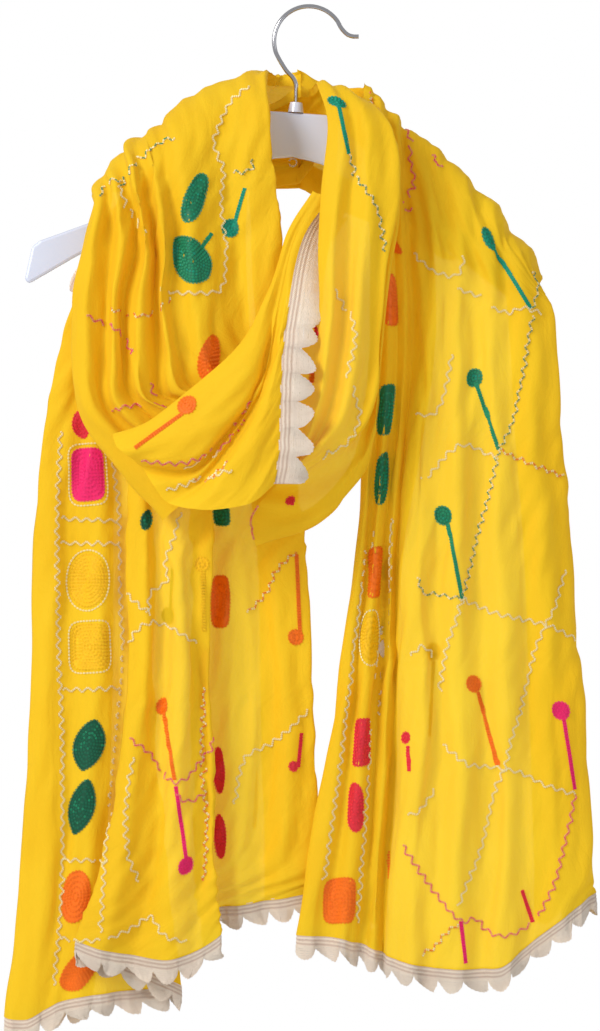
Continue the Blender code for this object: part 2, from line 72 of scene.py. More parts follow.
def give(tree, node, inputs):
    """Sets a node's inputs, each to a number, a colour or another node's output."""
    for socket, value in inputs.items():
        if isinstance(value, bpy.types.NodeSocket):
            tree.links.new(value, node.inputs[socket])
        else:
            node.inputs[socket].default_value = value


def add_node(tree, kind, inputs=None, **settings):
    """A new shader node, its settings made before its inputs."""
    node = tree.nodes.new(f"ShaderNode{kind}")
    for setting, value in settings.items():
        setattr(node, setting, value)
    give(tree, node, inputs or {})
    return node


def shaders_mixed(tree, first, second, share):
    """A mix of two shader nodes; share is how much of it is the second."""
    return add_node(tree, "MixShader", {"Fac": share, 1: first.outputs[0], 2: second.outputs[0]})


def new_look(name):
    """A new material, its node tree and its shader."""
    look = bpy.data.materials.new(name)
    look.use_nodes = True
    return look, look.node_tree, look.node_tree.nodes["Principled BSDF"]


camera = put("camera", bpy.data.cameras.new("camera"))
camera.location = CAMERA_AT
camera.rotation_euler = (math.radians(90), 0, 0)
camera.data.lens = SENSOR * VIEW_DEPTH / VIEW_HEIGHT
camera.data.sensor_width = SENSOR
bpy.context.scene.camera = camera

for name, place, size, watts, colour in LIGHTS:
    lamp = bpy.data.lights.new(name, "AREA")
    lamp.size, lamp.energy, lamp.color = size, watts, colour
    light = put(name, lamp)
    light.location = place
    light.rotation_euler = (LIT_POINT - light.location).to_track_quat("-Z", "Y").to_euler()

floor_mesh = bmesh.new()
bmesh.ops.create_circle(floor_mesh, cap_ends=True, segments=96, radius=FLOOR_RADIUS)
floor_data = bpy.data.meshes.new("floor")
floor_mesh.to_mesh(floor_data)
floor_mesh.free()
floor_data.transform(Matrix.Translation((0, 0, FLOOR_Z)))
floor = put("floor", floor_data)
floor_look, tree, shader = new_look("floor")
give(tree, shader, {"Base Color": FLOOR_COLOUR, "Roughness": 0.8})
floor_data.materials.append(floor_look)

world = bpy.data.worlds.new("studio")
bpy.context.scene.world = world
world.use_nodes = True
tree = world.node_tree
sky = tree.nodes["Background"]
give(tree, sky, {"Color": WHITE, "Strength": SKY_STRENGTH})
backdrop = add_node(tree, "Background", {"Color": WHITE})
seen = add_node(tree, "LightPath")
give(tree, tree.nodes["World Output"], {
    "Surface": shaders_mixed(tree, sky, backdrop, seen.outputs["Is Camera Ray"]).outputs[0],
})
bpy.context.scene.view_settings.view_transform = "Standard"

# The hook is one round chrome wire: an out-turned tip, an arc over the rail and an S bend down to
# the boss of the hanger.
WIRE_RADIUS = 1.8
HOOK_RADIUS = 28.0
HOOK_ARC = range(22, 216, 14)     # degrees round the arc, from its right
HOOK_CELLS = 4
HOOK_TIP = ((40.0, -22.6), (35.0, -22.4), (30.6, -20.6))
STEM_X, STEM_FOOT_Z = -10.4, -75.4
HOOK_STEM = (
    (-18.5, -49.5), (-13.0, -55.5), (-10.6, -61.0), (STEM_X, -68.0), (STEM_X, STEM_FOOT_Z),
)


def catmull_rom(points, cells):
    """Smooth curve through the points along axis 0, with this many cells in each span."""
    points = np.asarray(points, float)
    spans = len(points) - 1
    counts = cells if isinstance(cells, tuple) else (cells,) * spans
    padded = np.concatenate([[2 * points[0] - points[1]], points, [2 * points[-1] - points[-2]]])
    rows = []
    for i, count in enumerate(counts):
        a, b, c, d = padded[i : i + 4]
        for u in np.arange(count) / count:
            curve = 2 * a - 5 * b + 4 * c - d + u * (3 * (b - c) + d - a)
            rows.append(b + 0.5 * u * (c - a + u * curve))
    return np.array(rows + [points[-1]])


hook_route = [(x, 0.0, z) for x, z in HOOK_TIP]
for turn in np.radians(HOOK_ARC):
    z = WIRE_RADIUS - HOOK_RADIUS + HOOK_RADIUS * math.sin(turn)
    hook_route.append((HOOK_RADIUS * math.cos(turn), 0.0, z))
hook_route += [(x, 0.0, z) for x, z in HOOK_STEM]
hook_curve = bpy.data.curves.new("hook_wire", "CURVE")
hook_curve.dimensions = "3D"
hook_curve.bevel_depth = WIRE_RADIUS * MM
hook_curve.bevel_resolution = 5
hook_curve.use_fill_caps = True
hook_line = hook_curve.splines.new("POLY")
hook_points = catmull_rom(hook_route, HOOK_CELLS) * MM
hook_line.points.add(len(hook_points) - 1)
for place, point in zip(hook_line.points, hook_points):
    place.co = (*point, 1.0)
hook_line.use_smooth = True
hook = put("hook_wire", hook_curve)

# Chrome, plastic, lace and thread are each a little uneven: the colour or the roughness wanders
# between two values, finely on chrome and thread, broadly on plastic.
uneven = bpy.data.node_groups.new("uneven_finish", "ShaderNodeTree")
SOCKETS = (
    ("INPUT", "Vector", "Vector"), ("INPUT", "Scale", "Float"), ("INPUT", "Detail", "Float"),
    ("INPUT", "Dark", "Color"), ("INPUT", "Light", "Color"), ("INPUT", "Smoothest", "Float"),
    ("INPUT", "Roughest", "Float"), ("OUTPUT", "Colour", "Color"), ("OUTPUT", "Roughness", "Float"),
)
for side, name, kind in SOCKETS:
    uneven.interface.new_socket(name, in_out=side, socket_type=f"NodeSocket{kind}")
given = uneven.nodes.new("NodeGroupInput").outputs
inputs = {name: given[name] for name in ("Vector", "Scale", "Detail")}
mottle = add_node(uneven, "TexNoise", inputs).outputs["Fac"]
shade = add_node(
    uneven, "Mix", {"Factor": mottle, "A": given["Dark"], "B": given["Light"]}, data_type="RGBA"
)
inputs = {"Value": mottle, "To Min": given["Smoothest"], "To Max": given["Roughest"]}
roughness = add_node(uneven, "MapRange", inputs)
finished = {"Colour": shade.outputs["Result"], "Roughness": roughness.outputs["Result"]}
give(uneven, uneven.nodes.new("NodeGroupOutput"), finished)


def uneven_in(tree, scale, detail=2.0, **values):
    """The uneven finish in a material, on Object coordinates."""
    places = add_node(tree, "TexCoord").outputs
    inputs = {"Vector": places["Object"], "Scale": scale, "Detail": detail, **values}
    return add_node(tree, "Group", inputs, node_tree=uneven).outputs


def bumped(tree, height, strength, distance, **more):
    """The normal of a surface with this relief."""
    inputs = {"Strength": strength, "Distance": distance, "Height": height, **more}
    return add_node(tree, "Bump", inputs).outputs["Normal"]


def stand_for(piece, node):
    """The piece takes the place of one of the solids."""
    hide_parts(node)
    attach(piece, "root")


chrome, tree, shader = new_look("chrome")
finish = uneven_in(tree, scale=240.0, Smoothest=0.08, Roughest=0.24)
give(tree, shader, {
    "Metallic": 1.0, "Base Color": (0.47, 0.47, 0.50, 1), "Roughness": finish["Roughness"],
})
hook_curve.materials.append(chrome)
stand_for(hook, "hook")

# The hanger is one glossy white moulding with a flat centre plate and a boss for the hook; a
# small clear loop hangs under the plate.  The moulding has a faint flow of grey-blue in it.
plastic, tree, shader = new_look("glossy_plastic")
finish = uneven_in(tree, scale=14.0, Dark=(0.56, 0.62, 0.80, 1), Light=(0.72, 0.77, 0.92, 1))
places = add_node(tree, "TexCoord").outputs
ripple = add_node(tree, "TexNoise", {"Vector": places["Object"], "Scale": 120.0})
give(tree, shader, {
    "Base Color": finish["Colour"], "Roughness": 0.22, "Coat Weight": 0.3,
    "Normal": bumped(tree, ripple.outputs["Fac"], strength=0.05, distance=0.001),
})
clear, tree, shader = new_look("clear_plastic")
finish = uneven_in(tree, scale=300.0, Smoothest=0.1, Roughest=0.3)
give(tree, shader, {
    "Base Color": (0.86, 0.85, 0.8, 1), "Roughness": finish["Roughness"],
    "Transmission Weight": 0.7,
})
for name, look in (("hanger_body", plastic), ("hanger_collar", plastic), ("strap_loop", clear)):
    for place in bpy.data.objects[name].material_slots:
        place.material = look

# The stole is one length of crinkled yellow georgette.  Each stretch that shows is a shell: fold
# lines run along it, and each fold line has a place at the nape, on the arm and further down.
ACROSS = 7                  # cells between two fold lines
TAIL_ALONG = (18, 14, 6, 26, 28, 28, 34, 34, 28)
SEAM_GAP = -1.5             # the two lengths lap over each other at the nape
NAPE_X = -8.0
NAPE_FOOT_Z = -140.0
STACK = 0.3                 # how far layers stand apart on the arms, as a share of their depth
INNER_NAPE, OUTER_NAPE = (13.0, -57.0), (38.0, -44.0)    # y, and z of the top edge
RIDGE_STEP = 0.04
BEHIND_OUT, BEHIND_UP = 0.58, 0.75
TAIL_BROW_Y, TAIL_BROW_DROP, TAIL_BROW_OUT = -9.0, 15.0, 0.2
COWL_BROW_Y, COWL_BROW_DROP, COWL_BROW_OUT = -30.0, 0.35, 0.3
COWL_BROW_STACK = 0.45
TAIL_HEIGHTS = (-251, -345, -440, -560, -680)
CREASE_BOW, CREASE_FADE = 0.05, 0.7      # a crease bows by this share of its length; it fades out
CREASE_END, CREASE_RUN, CREASE_PAST = 0.08, 0.84, 0.09      # a little way past its ends
CRINKLES, CRINKLE_ACROSS, CRINKLE_ALONG = 14, (7, 26), (50, 240)
CRINKLE_SWING, CRINKLE_SWAY = 0.6, (40, 90)
SWELLS, SWELL_ACROSS, SWELL_ALONG, SWELL_HEIGHT = 6, (34, 70), (150, 420), 34
WAVES_IN_MM = 60.0          # the waves' sum that stands for one millimetre of crinkle
MEASURE = 100.0             # millimetres of cloth in one unit of its UV map
TINY = 1e-9

# fold, x at each of the TAIL_HEIGHTS and at the hem, z of the hem, depth y
TAIL_LEFT_FOLDS = (
    ("back_edge", -170, -158, -158, -159, -164, -174, -795, 16),
    ("back_bow", -186, -185, -186, -188, -193, -206, -803, 13),
    ("outer_turn", -194, -213, -221, -224, -231, -245, -810, 3),
    ("outer_ridge", -182, -198, -203, -206, -210, -226, -812, -7),
    ("outer_dip", -171, -183, -185, -188, -193, -204, -800, -1),
    ("outer_crest", -161, -167, -166, -169, -177, -183, -794, -8),
    ("under_panel", -153, -151, -143, -145, -153, -145, -790, 4),
    ("inner_turn", -147, -135, -127, -128, -120, -108, -787, 0),
    ("panel_back", -142, -136, -128, -129, -122, -110, -782, -8),
    ("panel_turn", -137, -145, -145, -146, -164, -186, -748, -17),
    ("panel_ridge", -129, -132, -130, -132, -149, -165, -754, -27),
    ("panel_dip", -121, -121, -117, -119, -127, -140, -759, -18),
    ("panel_crest", -112, -107, -102, -105, -108, -113, -762, -27),
    ("panel_valley", -103, -95, -90, -91, -92, -89, -755, -19),
    ("panel_edge", -95, -81, -77, -80, -76, -70, -742, -17),
    ("fold_back", -90, -87, -84, -85, -82, -78, -739, -6),
    ("fold_inner", -84, -97, -94, -94, -92, -87, -732, 5),
    ("rear_start", -79, -82, -78, -78, -76, -73, -724, 12),
    ("rear_crest", -73, -66, -62, -62, -58, -55, -722, 6),
    ("rear_dip", -66, -50, -43, -42, -39, -38, -719, 13),
    ("rear_ridge", -57, -34, -24, -22, -19, -18, -716, 7),
    ("rear_turn", -48, -17, -2, 3, 9, 7, -710, 12),
    ("rear_bow", -57, -30, -17, -12, -9, -9, -709, 19),
    ("rear_edge", -70, -54, -42, -39, -36, -36, -709, 22),
)
TAIL_RIGHT_FOLDS = (
    ("back_edge", 102, 92, 76, 70, 60, 50, -736, 19),
    ("back_bow", 70, 62, 50, 38, 22, 14, -739, 16),
    ("patch_turn", 50, 46, 36, 21, 0, -10, -744, 0),
    ("patch_ridge", 54, 50, 41, 28, 11, 1, -745, -8),
    ("patch_dip", 58, 54, 47, 36, 23, 14, -746, -1),
    ("patch_crest", 63, 59, 52, 44, 34, 26, -747, -9),
    ("patch_side", 67, 63, 57, 50, 42, 34, -750, -5),
    ("tuck_deep", 71, 67, 61, 55, 48, 42, -752, 2),
    ("tuck_ridge", 77, 72, 66, 63, 56, 52, -756, -6),
    ("lace_hollow", 83, 78, 71, 70, 64, 60, -759, 3),
    ("front_turn", 89, 82, 75, 76, 70, 66, -762, -13),
    ("front_ridge", 98, 90, 88, 91, 86, 82, -766, -23),
    ("front_dip", 108, 102, 102, 106, 102, 98, -769, -15),
    ("front_crest", 120, 118, 118, 123, 122, 118, -770, -25),
    ("front_valley", 132, 132, 134, 139, 140, 138, -770, -16),
    ("side_ridge", 146, 147, 152, 157, 158, 156, -767, -25),
    ("side_dip", 158, 162, 168, 174, 177, 177, -750, -14),
    ("side_crest", 173, 180, 187, 194, 197, 201, -731, -21),
    ("side_edge", 189, 195, 204, 212, 219, 223, -715, -11),
    ("side_turn", 197, 203, 211, 219, 226, 231, -710, 0),
    ("rear_bow", 181, 191, 201, 207, 213, 215, -715, 12),
    ("rear_edge", 160, 166, 174, 178, 182, 182, -720, 16),
)

# fold, depth y, then (x, z) at places from the arm down and round the bottom of the cowl
COWL_LEFT_FOLDS = (
    ("back_edge", -31, (-159, -191), (-161, -235), (-161, -283), (-153, -322), (-126, -357),
     (-84, -384)),
    ("back_bow", -34, (-172, -191), (-178, -235), (-180, -283), (-174, -325), (-148, -362),
     (-106, -402)),
    ("outer_turn", -43, (-179, -191), (-187, -235), (-189, -280), (-182, -328), (-154, -365),
     (-116, -411)),
    ("fold_1", -56, (-170, -191), (-176, -235), (-177, -280), (-169, -322), (-142, -357),
     (-105, -402)),
    ("dip_1", -44, (-158, -191), (-161, -235), (-163, -280), (-162, -317), (-134, -350),
     (-95, -394)),
    ("fold_2", -58, (-148, -191), (-154, -235), (-154, -280), (-153, -317), (-126, -344),
     (-86, -387)),
    ("dip_2", -42, (-137, -191), (-146, -235), (-147, -282), (-144, -310), (-118, -336),
     (-75, -382)),
    ("fold_3", -60, (-129, -191), (-134, -235), (-135, -277), (-131, -312), (-108, -331),
     (-67, -378)),
    ("dip_3", -41, (-122, -191), (-123, -235), (-121, -277), (-118, -310), (-96, -324),
     (-58, -373)),
    ("fold_4", -60, (-114, -191), (-117, -235), (-112, -273), (-104, -306), (-83, -318),
     (-50, -368)),
    ("dip_4", -45, (-106, -191), (-109, -235), (-102, -277), (-94, -304), (-72, -314), (-44, -363)),
    ("fold_5", -55, (-93, -191), (-90, -234), (-86, -271), (-77, -298), (-58, -309), (-37, -358)),
    ("hollow_1", -46, (-78, -191), (-74, -227), (-72, -263), (-64, -288), (-48, -302), (-31, -354)),
    ("hollow_2", -34, (-62, -191), (-57, -223), (-53, -256), (-46, -277), (-34, -296), (-25, -349)),
    ("inner_fold", -40, (-44, -187), (-40, -219), (-36, -247), (-31, -267), (-22, -291),
     (-18, -344)),
    ("inner_turn", -38, (-23, -175), (-20, -205), (-19, -233), (-18, -256), (-14, -283),
     (-13, -339)),
    ("inner_bow", -29, (-31, -181), (-30, -210), (-30, -238), (-28, -261), (-23, -285),
     (-18, -339)),
    ("inner_edge", -24, (-46, -184), (-45, -213), (-43, -240), (-41, -263), (-35, -288),
     (-27, -339)),
)
COWL_ROLL_FOLDS = (
    ("under_edge", -62, (20, -160), (0, -197), (-20, -242), (-47, -286), (-86, -325),
     (-116, -344), (-143, -352)),
    ("roll_back", -68, (5, -154), (-16, -190), (-32, -238), (-56, -281), (-95, -318),
     (-124, -339), (-152, -349)),
    ("roll_turn", -76, (3, -151), (-18, -187), (-34, -234), (-59, -277), (-98, -313),
     (-126, -334), (-154, -344)),
    ("roll_face", -89, (5, -152), (-16, -188), (-32, -238), (-50, -288), (-83, -330),
     (-114, -349), (-150, -354)),
    ("roll_lip", -86, (7, -153), (-15, -188), (-30, -242), (-41, -298), (-70, -341), (-99, -366),
     (-140, -362)),
    ("crease", -73, (8, -153), (-13, -188), (-27, -242), (-38, -301), (-66, -345), (-94, -371),
     (-131, -370)),
    ("u_fold", -79, (10, -154), (-12, -189), (-25, -243), (-37, -302), (-63, -348), (-90, -377),
     (-122, -384)),
    ("u_rim", -77, (11, -154), (-11, -189), (-23, -243), (-35, -304), (-61, -351), (-85, -382),
     (-110, -398)),
    ("big_turn", -91, (12, -154), (-10, -189), (-21, -243), (-33, -304), (-55, -353), (-75, -382),
     (-86, -403)),
    ("big_face", -97, (14, -154), (-8, -189), (-19, -242), (-29, -302), (-44, -352), (-57, -382),
     (-64, -402)),
    ("big_flat", -94, (16, -154), (-6, -189), (-17, -242), (-25, -298), (-33, -347), (-39, -375),
     (-44, -397)),
    ("lace_seam", -89, (18, -155), (-4, -189), (-15, -240), (-21, -294), (-22, -339), (-24, -363),
     (-26, -383)),
)
COWL_RIGHT_FOLDS = (
    ("left_edge", -50, (23, -99), (20, -155), (15, -203), (7, -246), (-11, -288), (-17, -332),
     (-15, -362), (-16, -370)),
    ("left_turn", -62, (15, -99), (10, -155), (7, -203), (8, -251), (4, -299), (-4, -335),
     (-10, -359), (-18, -365)),
    ("fold_1", -74, (27, -99), (22, -155), (18, -203), (17, -251), (11, -301), (2, -338),
     (-10, -362), (-18, -367)),
    ("dip_1", -63, (36, -99), (33, -155), (30, -204), (27, -253), (22, -303), (10, -340),
     (-9, -364), (-18, -370)),
    ("fold_2", -75, (46, -99), (45, -155), (42, -206), (38, -255), (32, -306), (18, -342),
     (-8, -366), (-18, -372)),
    ("dip_2", -67, (57, -100), (59, -155), (54, -208), (49, -258), (42, -309), (26, -346),
     (-7, -369), (-19, -374)),
    ("lobe_turn", -64, (66, -101), (71, -155), (62, -210), (58, -260), (52, -313), (35, -348),
     (-6, -372), (-20, -378)),
    ("hollow", -48, (60, -106), (63, -159), (55, -214), (50, -264), (42, -317), (28, -354),
     (-4, -378), (-23, -382)),
    ("low_lip", -45, (63, -109), (66, -163), (58, -219), (54, -269), (49, -323), (34, -362),
     (-1, -386), (-31, -389)),
    ("low_face", -49, (67, -112), (69, -167), (62, -225), (57, -275), (52, -334), (39, -368),
     (6, -402), (-46, -410)),
    ("low_turn", -42, (70, -115), (70, -173), (62, -230), (57, -283), (50, -342), (42, -374),
     (9, -415), (-42, -432)),
    ("low_bow", -34, (63, -117), (63, -176), (55, -234), (49, -285), (42, -339), (33, -366),
     (2, -400), (-44, -418)),
)

# x and z of the ridges where the cloth passes over the hanger's arms, from the shoulder's end
LEFT_COWL_RIDGE = (
    (-173, -145), (-160, -124), (-143, -103), (-115, -85), (-87, -58), (-56, -47), (-36, -45),
)
LEFT_TAIL_RIDGE = (
    (-150, -140), (-136, -130), (-118, -115.6), (-100, -101.6), (-80, -87), (-62, -76), (-52, -72),
)
RIGHT_TAIL_RIDGE = (
    (187, -206), (172, -187), (156, -169), (138, -146), (118, -128), (90, -102), (66, -78),
    (48, -59),
)
RIGHT_COWL_RIDGE = ((50, -80), (38, -70), (26, -63), (14, -60), (6, -60))


def along_line(line, share):
    """The point this share of the way along a line of few points, by its point count."""
    place = min(max(share, 0.0), 1.0) * (len(line) - 1)
    i = min(int(place), len(line) - 2)
    return np.asarray(line[i], float) + (place - i) * (np.asarray(line[i + 1], float) - line[i])


def ends_of(xs):
    """The x nearest the neck, and the x furthest out on the arm."""
    return min(xs, key=abs), max(xs, key=abs)


def over_the_arm(share, ridge, under, proud, nape, crest_y, side):
    """Three places of a fold line: at the nape's middle, behind the arm, and on its ridge.

    share is 0 at the shoulder's end of the arm and 1 at the neck.  under says how deep the fold
    lies below the outermost one, and proud how far it stands out from the innermost one.
    """
    slope = along_line(ridge, share + RIDGE_STEP) - along_line(ridge, share - RIDGE_STEP)
    upright = np.array((-slope[1], slope[0])) * math.copysign(1.0, slope[0]) / math.hypot(*slope)
    crest_x, crest_z = along_line(ridge, share) - STACK * under * upright
    nape_x = NAPE_X + side * SEAM_GAP
    nape_y, nape_top = nape
    nape_z = NAPE_FOOT_Z + share * (nape_top - NAPE_FOOT_Z)
    layer_y = nape_y + STACK * proud
    behind_x = NAPE_X + BEHIND_OUT * (crest_x - NAPE_X)
    behind_z = nape_z + BEHIND_UP * (crest_z - nape_z)
    return [(nape_x, layer_y, nape_z), (behind_x, layer_y, behind_z), (crest_x, crest_y, crest_z)]


def tail_net(folds, ridge, nape, crest_y, side, spread, forward):
    """Fold lines of a tail: over the arm from the nape, then down to the hem."""
    depths = [row[-1] for row in folds]
    back, front = max(depths), min(depths)
    neck_x, end_x = ends_of([row[1] for row in folds])
    net = []
    for _, *xs, hem_z, depth in folds:
        share = (end_x - xs[0]) / (end_x - neck_x)
        line = over_the_arm(share, ridge, depth - front, back - depth, nape, crest_y, side)
        crest_x, _, crest_z = line[-1]
        brow_x = crest_x + TAIL_BROW_OUT * (xs[0] - crest_x)
        line.append((brow_x, TAIL_BROW_Y - STACK * (back - depth), crest_z - TAIL_BROW_DROP))
        for x, z, scale, step in zip(xs, TAIL_HEIGHTS + (hem_z,), spread, forward):
            line.append((x, step + scale * depth, z))
        net.append(line)
    return np.array(net)


def cowl_side_net(folds, ridge, nape, crest_y, side, spread, base, with_brow):
    """Fold lines of a cowl limb that passes over the arm and down the front."""
    depths = [row[1] for row in folds]
    back, front = max(depths), min(depths)
    neck_x, end_x = ends_of([row[2][0] for row in folds])
    net = []
    for _, depth, *places in folds:
        first_x, first_z = places[0]
        share = (end_x - first_x) / (end_x - neck_x)
        line = over_the_arm(share, ridge, depth - front, back - depth, nape, crest_y, side)
        if with_brow:
            crest_x, _, crest_z = line[-1]
            brow_x = crest_x + COWL_BROW_OUT * (first_x - crest_x)
            brow_z = crest_z + COWL_BROW_DROP * (first_z - crest_z)
            line.append((brow_x, COWL_BROW_Y - COWL_BROW_STACK * (back - depth), brow_z))
        for (x, z), scale in zip(places, spread):
            line.append((x, base + scale * (depth - base), z))
        net.append(line)
    return np.array(net)


def roll_net():
    """Fold lines of the roll, which fan out from under the right limb's edge."""
    back = COWL_ROLL_FOLDS[0][1]
    net = []
    for i, (_, y, *places) in enumerate(COWL_ROLL_FOLDS):
        depth = y - back
        closed = -min(ROLL_CLOSED_MOST, ROLL_CLOSED_STEP * i)
        line = []
        for (x, z), share, base in zip(places, ROLL_SPREAD, ROLL_BASE):
            line.append((x, base + (1 - share) * closed + share * depth, z))
        net.append(line)
    return np.array(net)


def surface(net, along):
    """Grid of points on the cloth: [across the width][along the length][xyz]."""
    lengthwise = catmull_rom(np.swapaxes(net, 0, 1), along)
    return catmull_rom(np.swapaxes(lengthwise, 0, 1), ACROSS)


def unit(vectors):
    """The vectors at length 1."""
    return vectors / np.maximum(np.linalg.norm(vectors, axis=-1, keepdims=True), TINY)


def normals_of(points):
    """Unit normals of a grid of points."""
    return unit(np.cross(np.gradient(points, axis=0), np.gradient(points, axis=1)))


def travelled(points, axis=0):
    """Distance along a line, or along each line of a grid, from its start."""
    steps = np.linalg.norm(np.diff(points, axis=axis), axis=-1)
    start = np.zeros_like(steps.take([0], axis=axis))
    return np.concatenate([start, np.cumsum(steps, axis=axis)], axis=axis)


def creased(points, creases, crinkle, seed):
    """The grid with ridges and troughs along the creases, and a fine uneven crinkle all over.

    A crease is x and z of its two ends, its height (below 0 for a trough) and half its width.
    """
    normals = normals_of(points)
    facing = np.where(normals[..., 1:2] > 0, -1.0, 1.0)
    push = np.zeros(points.shape[:2])
    for x1, z1, x2, z2, height, width in creases:
        run = np.array((x2 - x1, z2 - z1), float)
        offset = points[..., (0, 2)] - (x1, z1)
        share = (offset @ run) / (run @ run)
        bow = CREASE_BOW * np.linalg.norm(run) * np.sin(np.pi * np.clip(share, 0, 1))
        side = (offset[..., 0] * -run[1] + offset[..., 1] * run[0]) / np.linalg.norm(run) - bow
        taper = np.clip(np.sin(np.pi * np.clip(CREASE_END + CREASE_RUN * share, 0, 1)), 0, 1)
        taper = taper**CREASE_FADE * ((share > -CREASE_PAST) & (share < 1 + CREASE_PAST))
        push += height * np.exp(-((side / width) ** 2)) * taper
    points = points + push[..., None] * facing * normals
    across, along = travelled(points, 0), travelled(points, 1)
    random = np.random.default_rng(seed)
    wave = np.zeros(points.shape[:2])
    for _ in range(CRINKLES):
        length_u, length_v = random.uniform(*CRINKLE_ACROSS), random.uniform(*CRINKLE_ALONG)
        phase, lean = random.uniform(0, 2 * np.pi), random.choice((-1.0, 1.0))
        swing = CRINKLE_SWING * np.sin(along / random.uniform(*CRINKLE_SWAY) + phase)
        turn = 2 * np.pi * (across / length_u + lean * along / length_v)
        wave += np.sin(turn + phase + swing) * length_u
    for _ in range(SWELLS):
        length_u, length_v = random.uniform(*SWELL_ACROSS), random.uniform(*SWELL_ALONG)
        phase, lean = random.uniform(0, 2 * np.pi), random.choice((-1.0, 1.0))
        turn = 2 * np.pi * (across / length_u + lean * along / length_v)
        wave += SWELL_HEIGHT * np.sin(turn + phase)
    return points + (crinkle * wave / WAVES_IN_MM)[..., None] * normals


def mesh_of(name, points):
    """Mesh of a grid of points in millimetres, with the cloth's own measure as its UV map."""
    count_u, count_v = points.shape[:2]
    build = bmesh.new()
    bmesh.ops.create_grid(build, x_segments=count_u - 1, y_segments=count_v - 1, size=0.5)
    index = np.array([(v.co.x, v.co.y) for v in build.verts])
    i = np.rint((index[:, 0] + 0.5) * (count_u - 1)).astype(int)
    j = np.rint((index[:, 1] + 0.5) * (count_v - 1)).astype(int)
    mesh = bpy.data.meshes.new(name)
    build.to_mesh(mesh)
    build.free()
    mesh.vertices.foreach_set("co", (points[i, j] * MM).astype(np.float32).ravel())
    across, along = travelled(points, 0), travelled(points, 1)
    measure = np.stack([across[i, j], along[i, j]], axis=1) / MEASURE
    corner = np.empty(len(mesh.loops), np.int32)
    mesh.loops.foreach_get("vertex_index", corner)
    cloth_map = mesh.uv_layers.new(name="cloth")
    cloth_map.data.foreach_set("uv", measure[corner].astype(np.float32).ravel())
    mesh.shade_smooth()
    mesh.update()
    return mesh


def sewn_piece(name, points, look, node):
    """A piece of cloth or lace, in the place of one of the solids."""
    piece = put(name, mesh_of(name, points))
    piece.data.materials.append(look)
    stand_for(piece, node)
    return piece


georgette, tree, shader = new_look("georgette")
places = add_node(tree, "TexCoord").outputs
patches = add_node(tree, "TexNoise", {"Vector": places["Object"], "Scale": 11.0, "Detail": 3.0})
yellow = add_node(
    tree, "Mix",
    {"Factor": patches.outputs["Fac"], "A": (0.93, 0.585, 0.007, 1), "B": (0.99, 0.71, 0.022, 1)},
    data_type="RGBA",
).outputs["Result"]
YARN = {"Vector": places["UV"], "Scale": 42.0, "Distortion": 1.6, "Detail": 1.0}
weft = add_node(tree, "TexWave", YARN, bands_direction="Y")
warp = add_node(tree, "TexWave", YARN, bands_direction="X")
weave = add_node(
    tree, "Math", {0: weft.outputs["Fac"], 1: warp.outputs["Fac"]}, operation="MULTIPLY"
)
crepe = add_node(tree, "TexNoise", {"Vector": places["Object"], "Scale": 420.0, "Detail": 4.0})
height = add_node(
    tree, "Math", {0: weave.outputs[0], 1: 0.35, 2: crepe.outputs["Fac"]}, operation="MULTIPLY_ADD"
)
relief = bumped(tree, height.outputs[0], strength=0.35, distance=0.0006)
stretch = add_node(tree, "Mapping", {"Vector": places["UV"], "Scale": (1.0, 0.3, 1.0)})
crumple = add_node(
    tree, "TexNoise",
    {"Vector": stretch.outputs["Vector"], "Scale": 9.0, "Detail": 5.0, "Distortion": 0.6},
)
normal = bumped(tree, crumple.outputs["Fac"], strength=0.22, distance=0.006, Normal=relief)
give(tree, shader, {
    "Base Color": yellow, "Normal": normal, "Roughness": 0.72, "Specular IOR Level": 0.25,
    "Sheen Weight": 0.12, "Sheen Tint": (1.0, 0.85, 0.3, 1),
})
through = add_node(tree, "BsdfTranslucent", {"Color": yellow, "Normal": normal})
cloth_body = shaders_mixed(tree, shader, through, share=0.28)
holes = add_node(tree, "MapRange", {"Value": weave.outputs[0], "To Min": 0.03, "To Max": 0.1})
open_weave = add_node(tree, "BsdfTransparent", {"Color": (1.0, 0.86, 0.4, 1)})
sheer = shaders_mixed(tree, cloth_body, open_weave, holes.outputs["Result"])
give(tree, tree.nodes["Material Output"], {"Surface": sheer.outputs[0]})

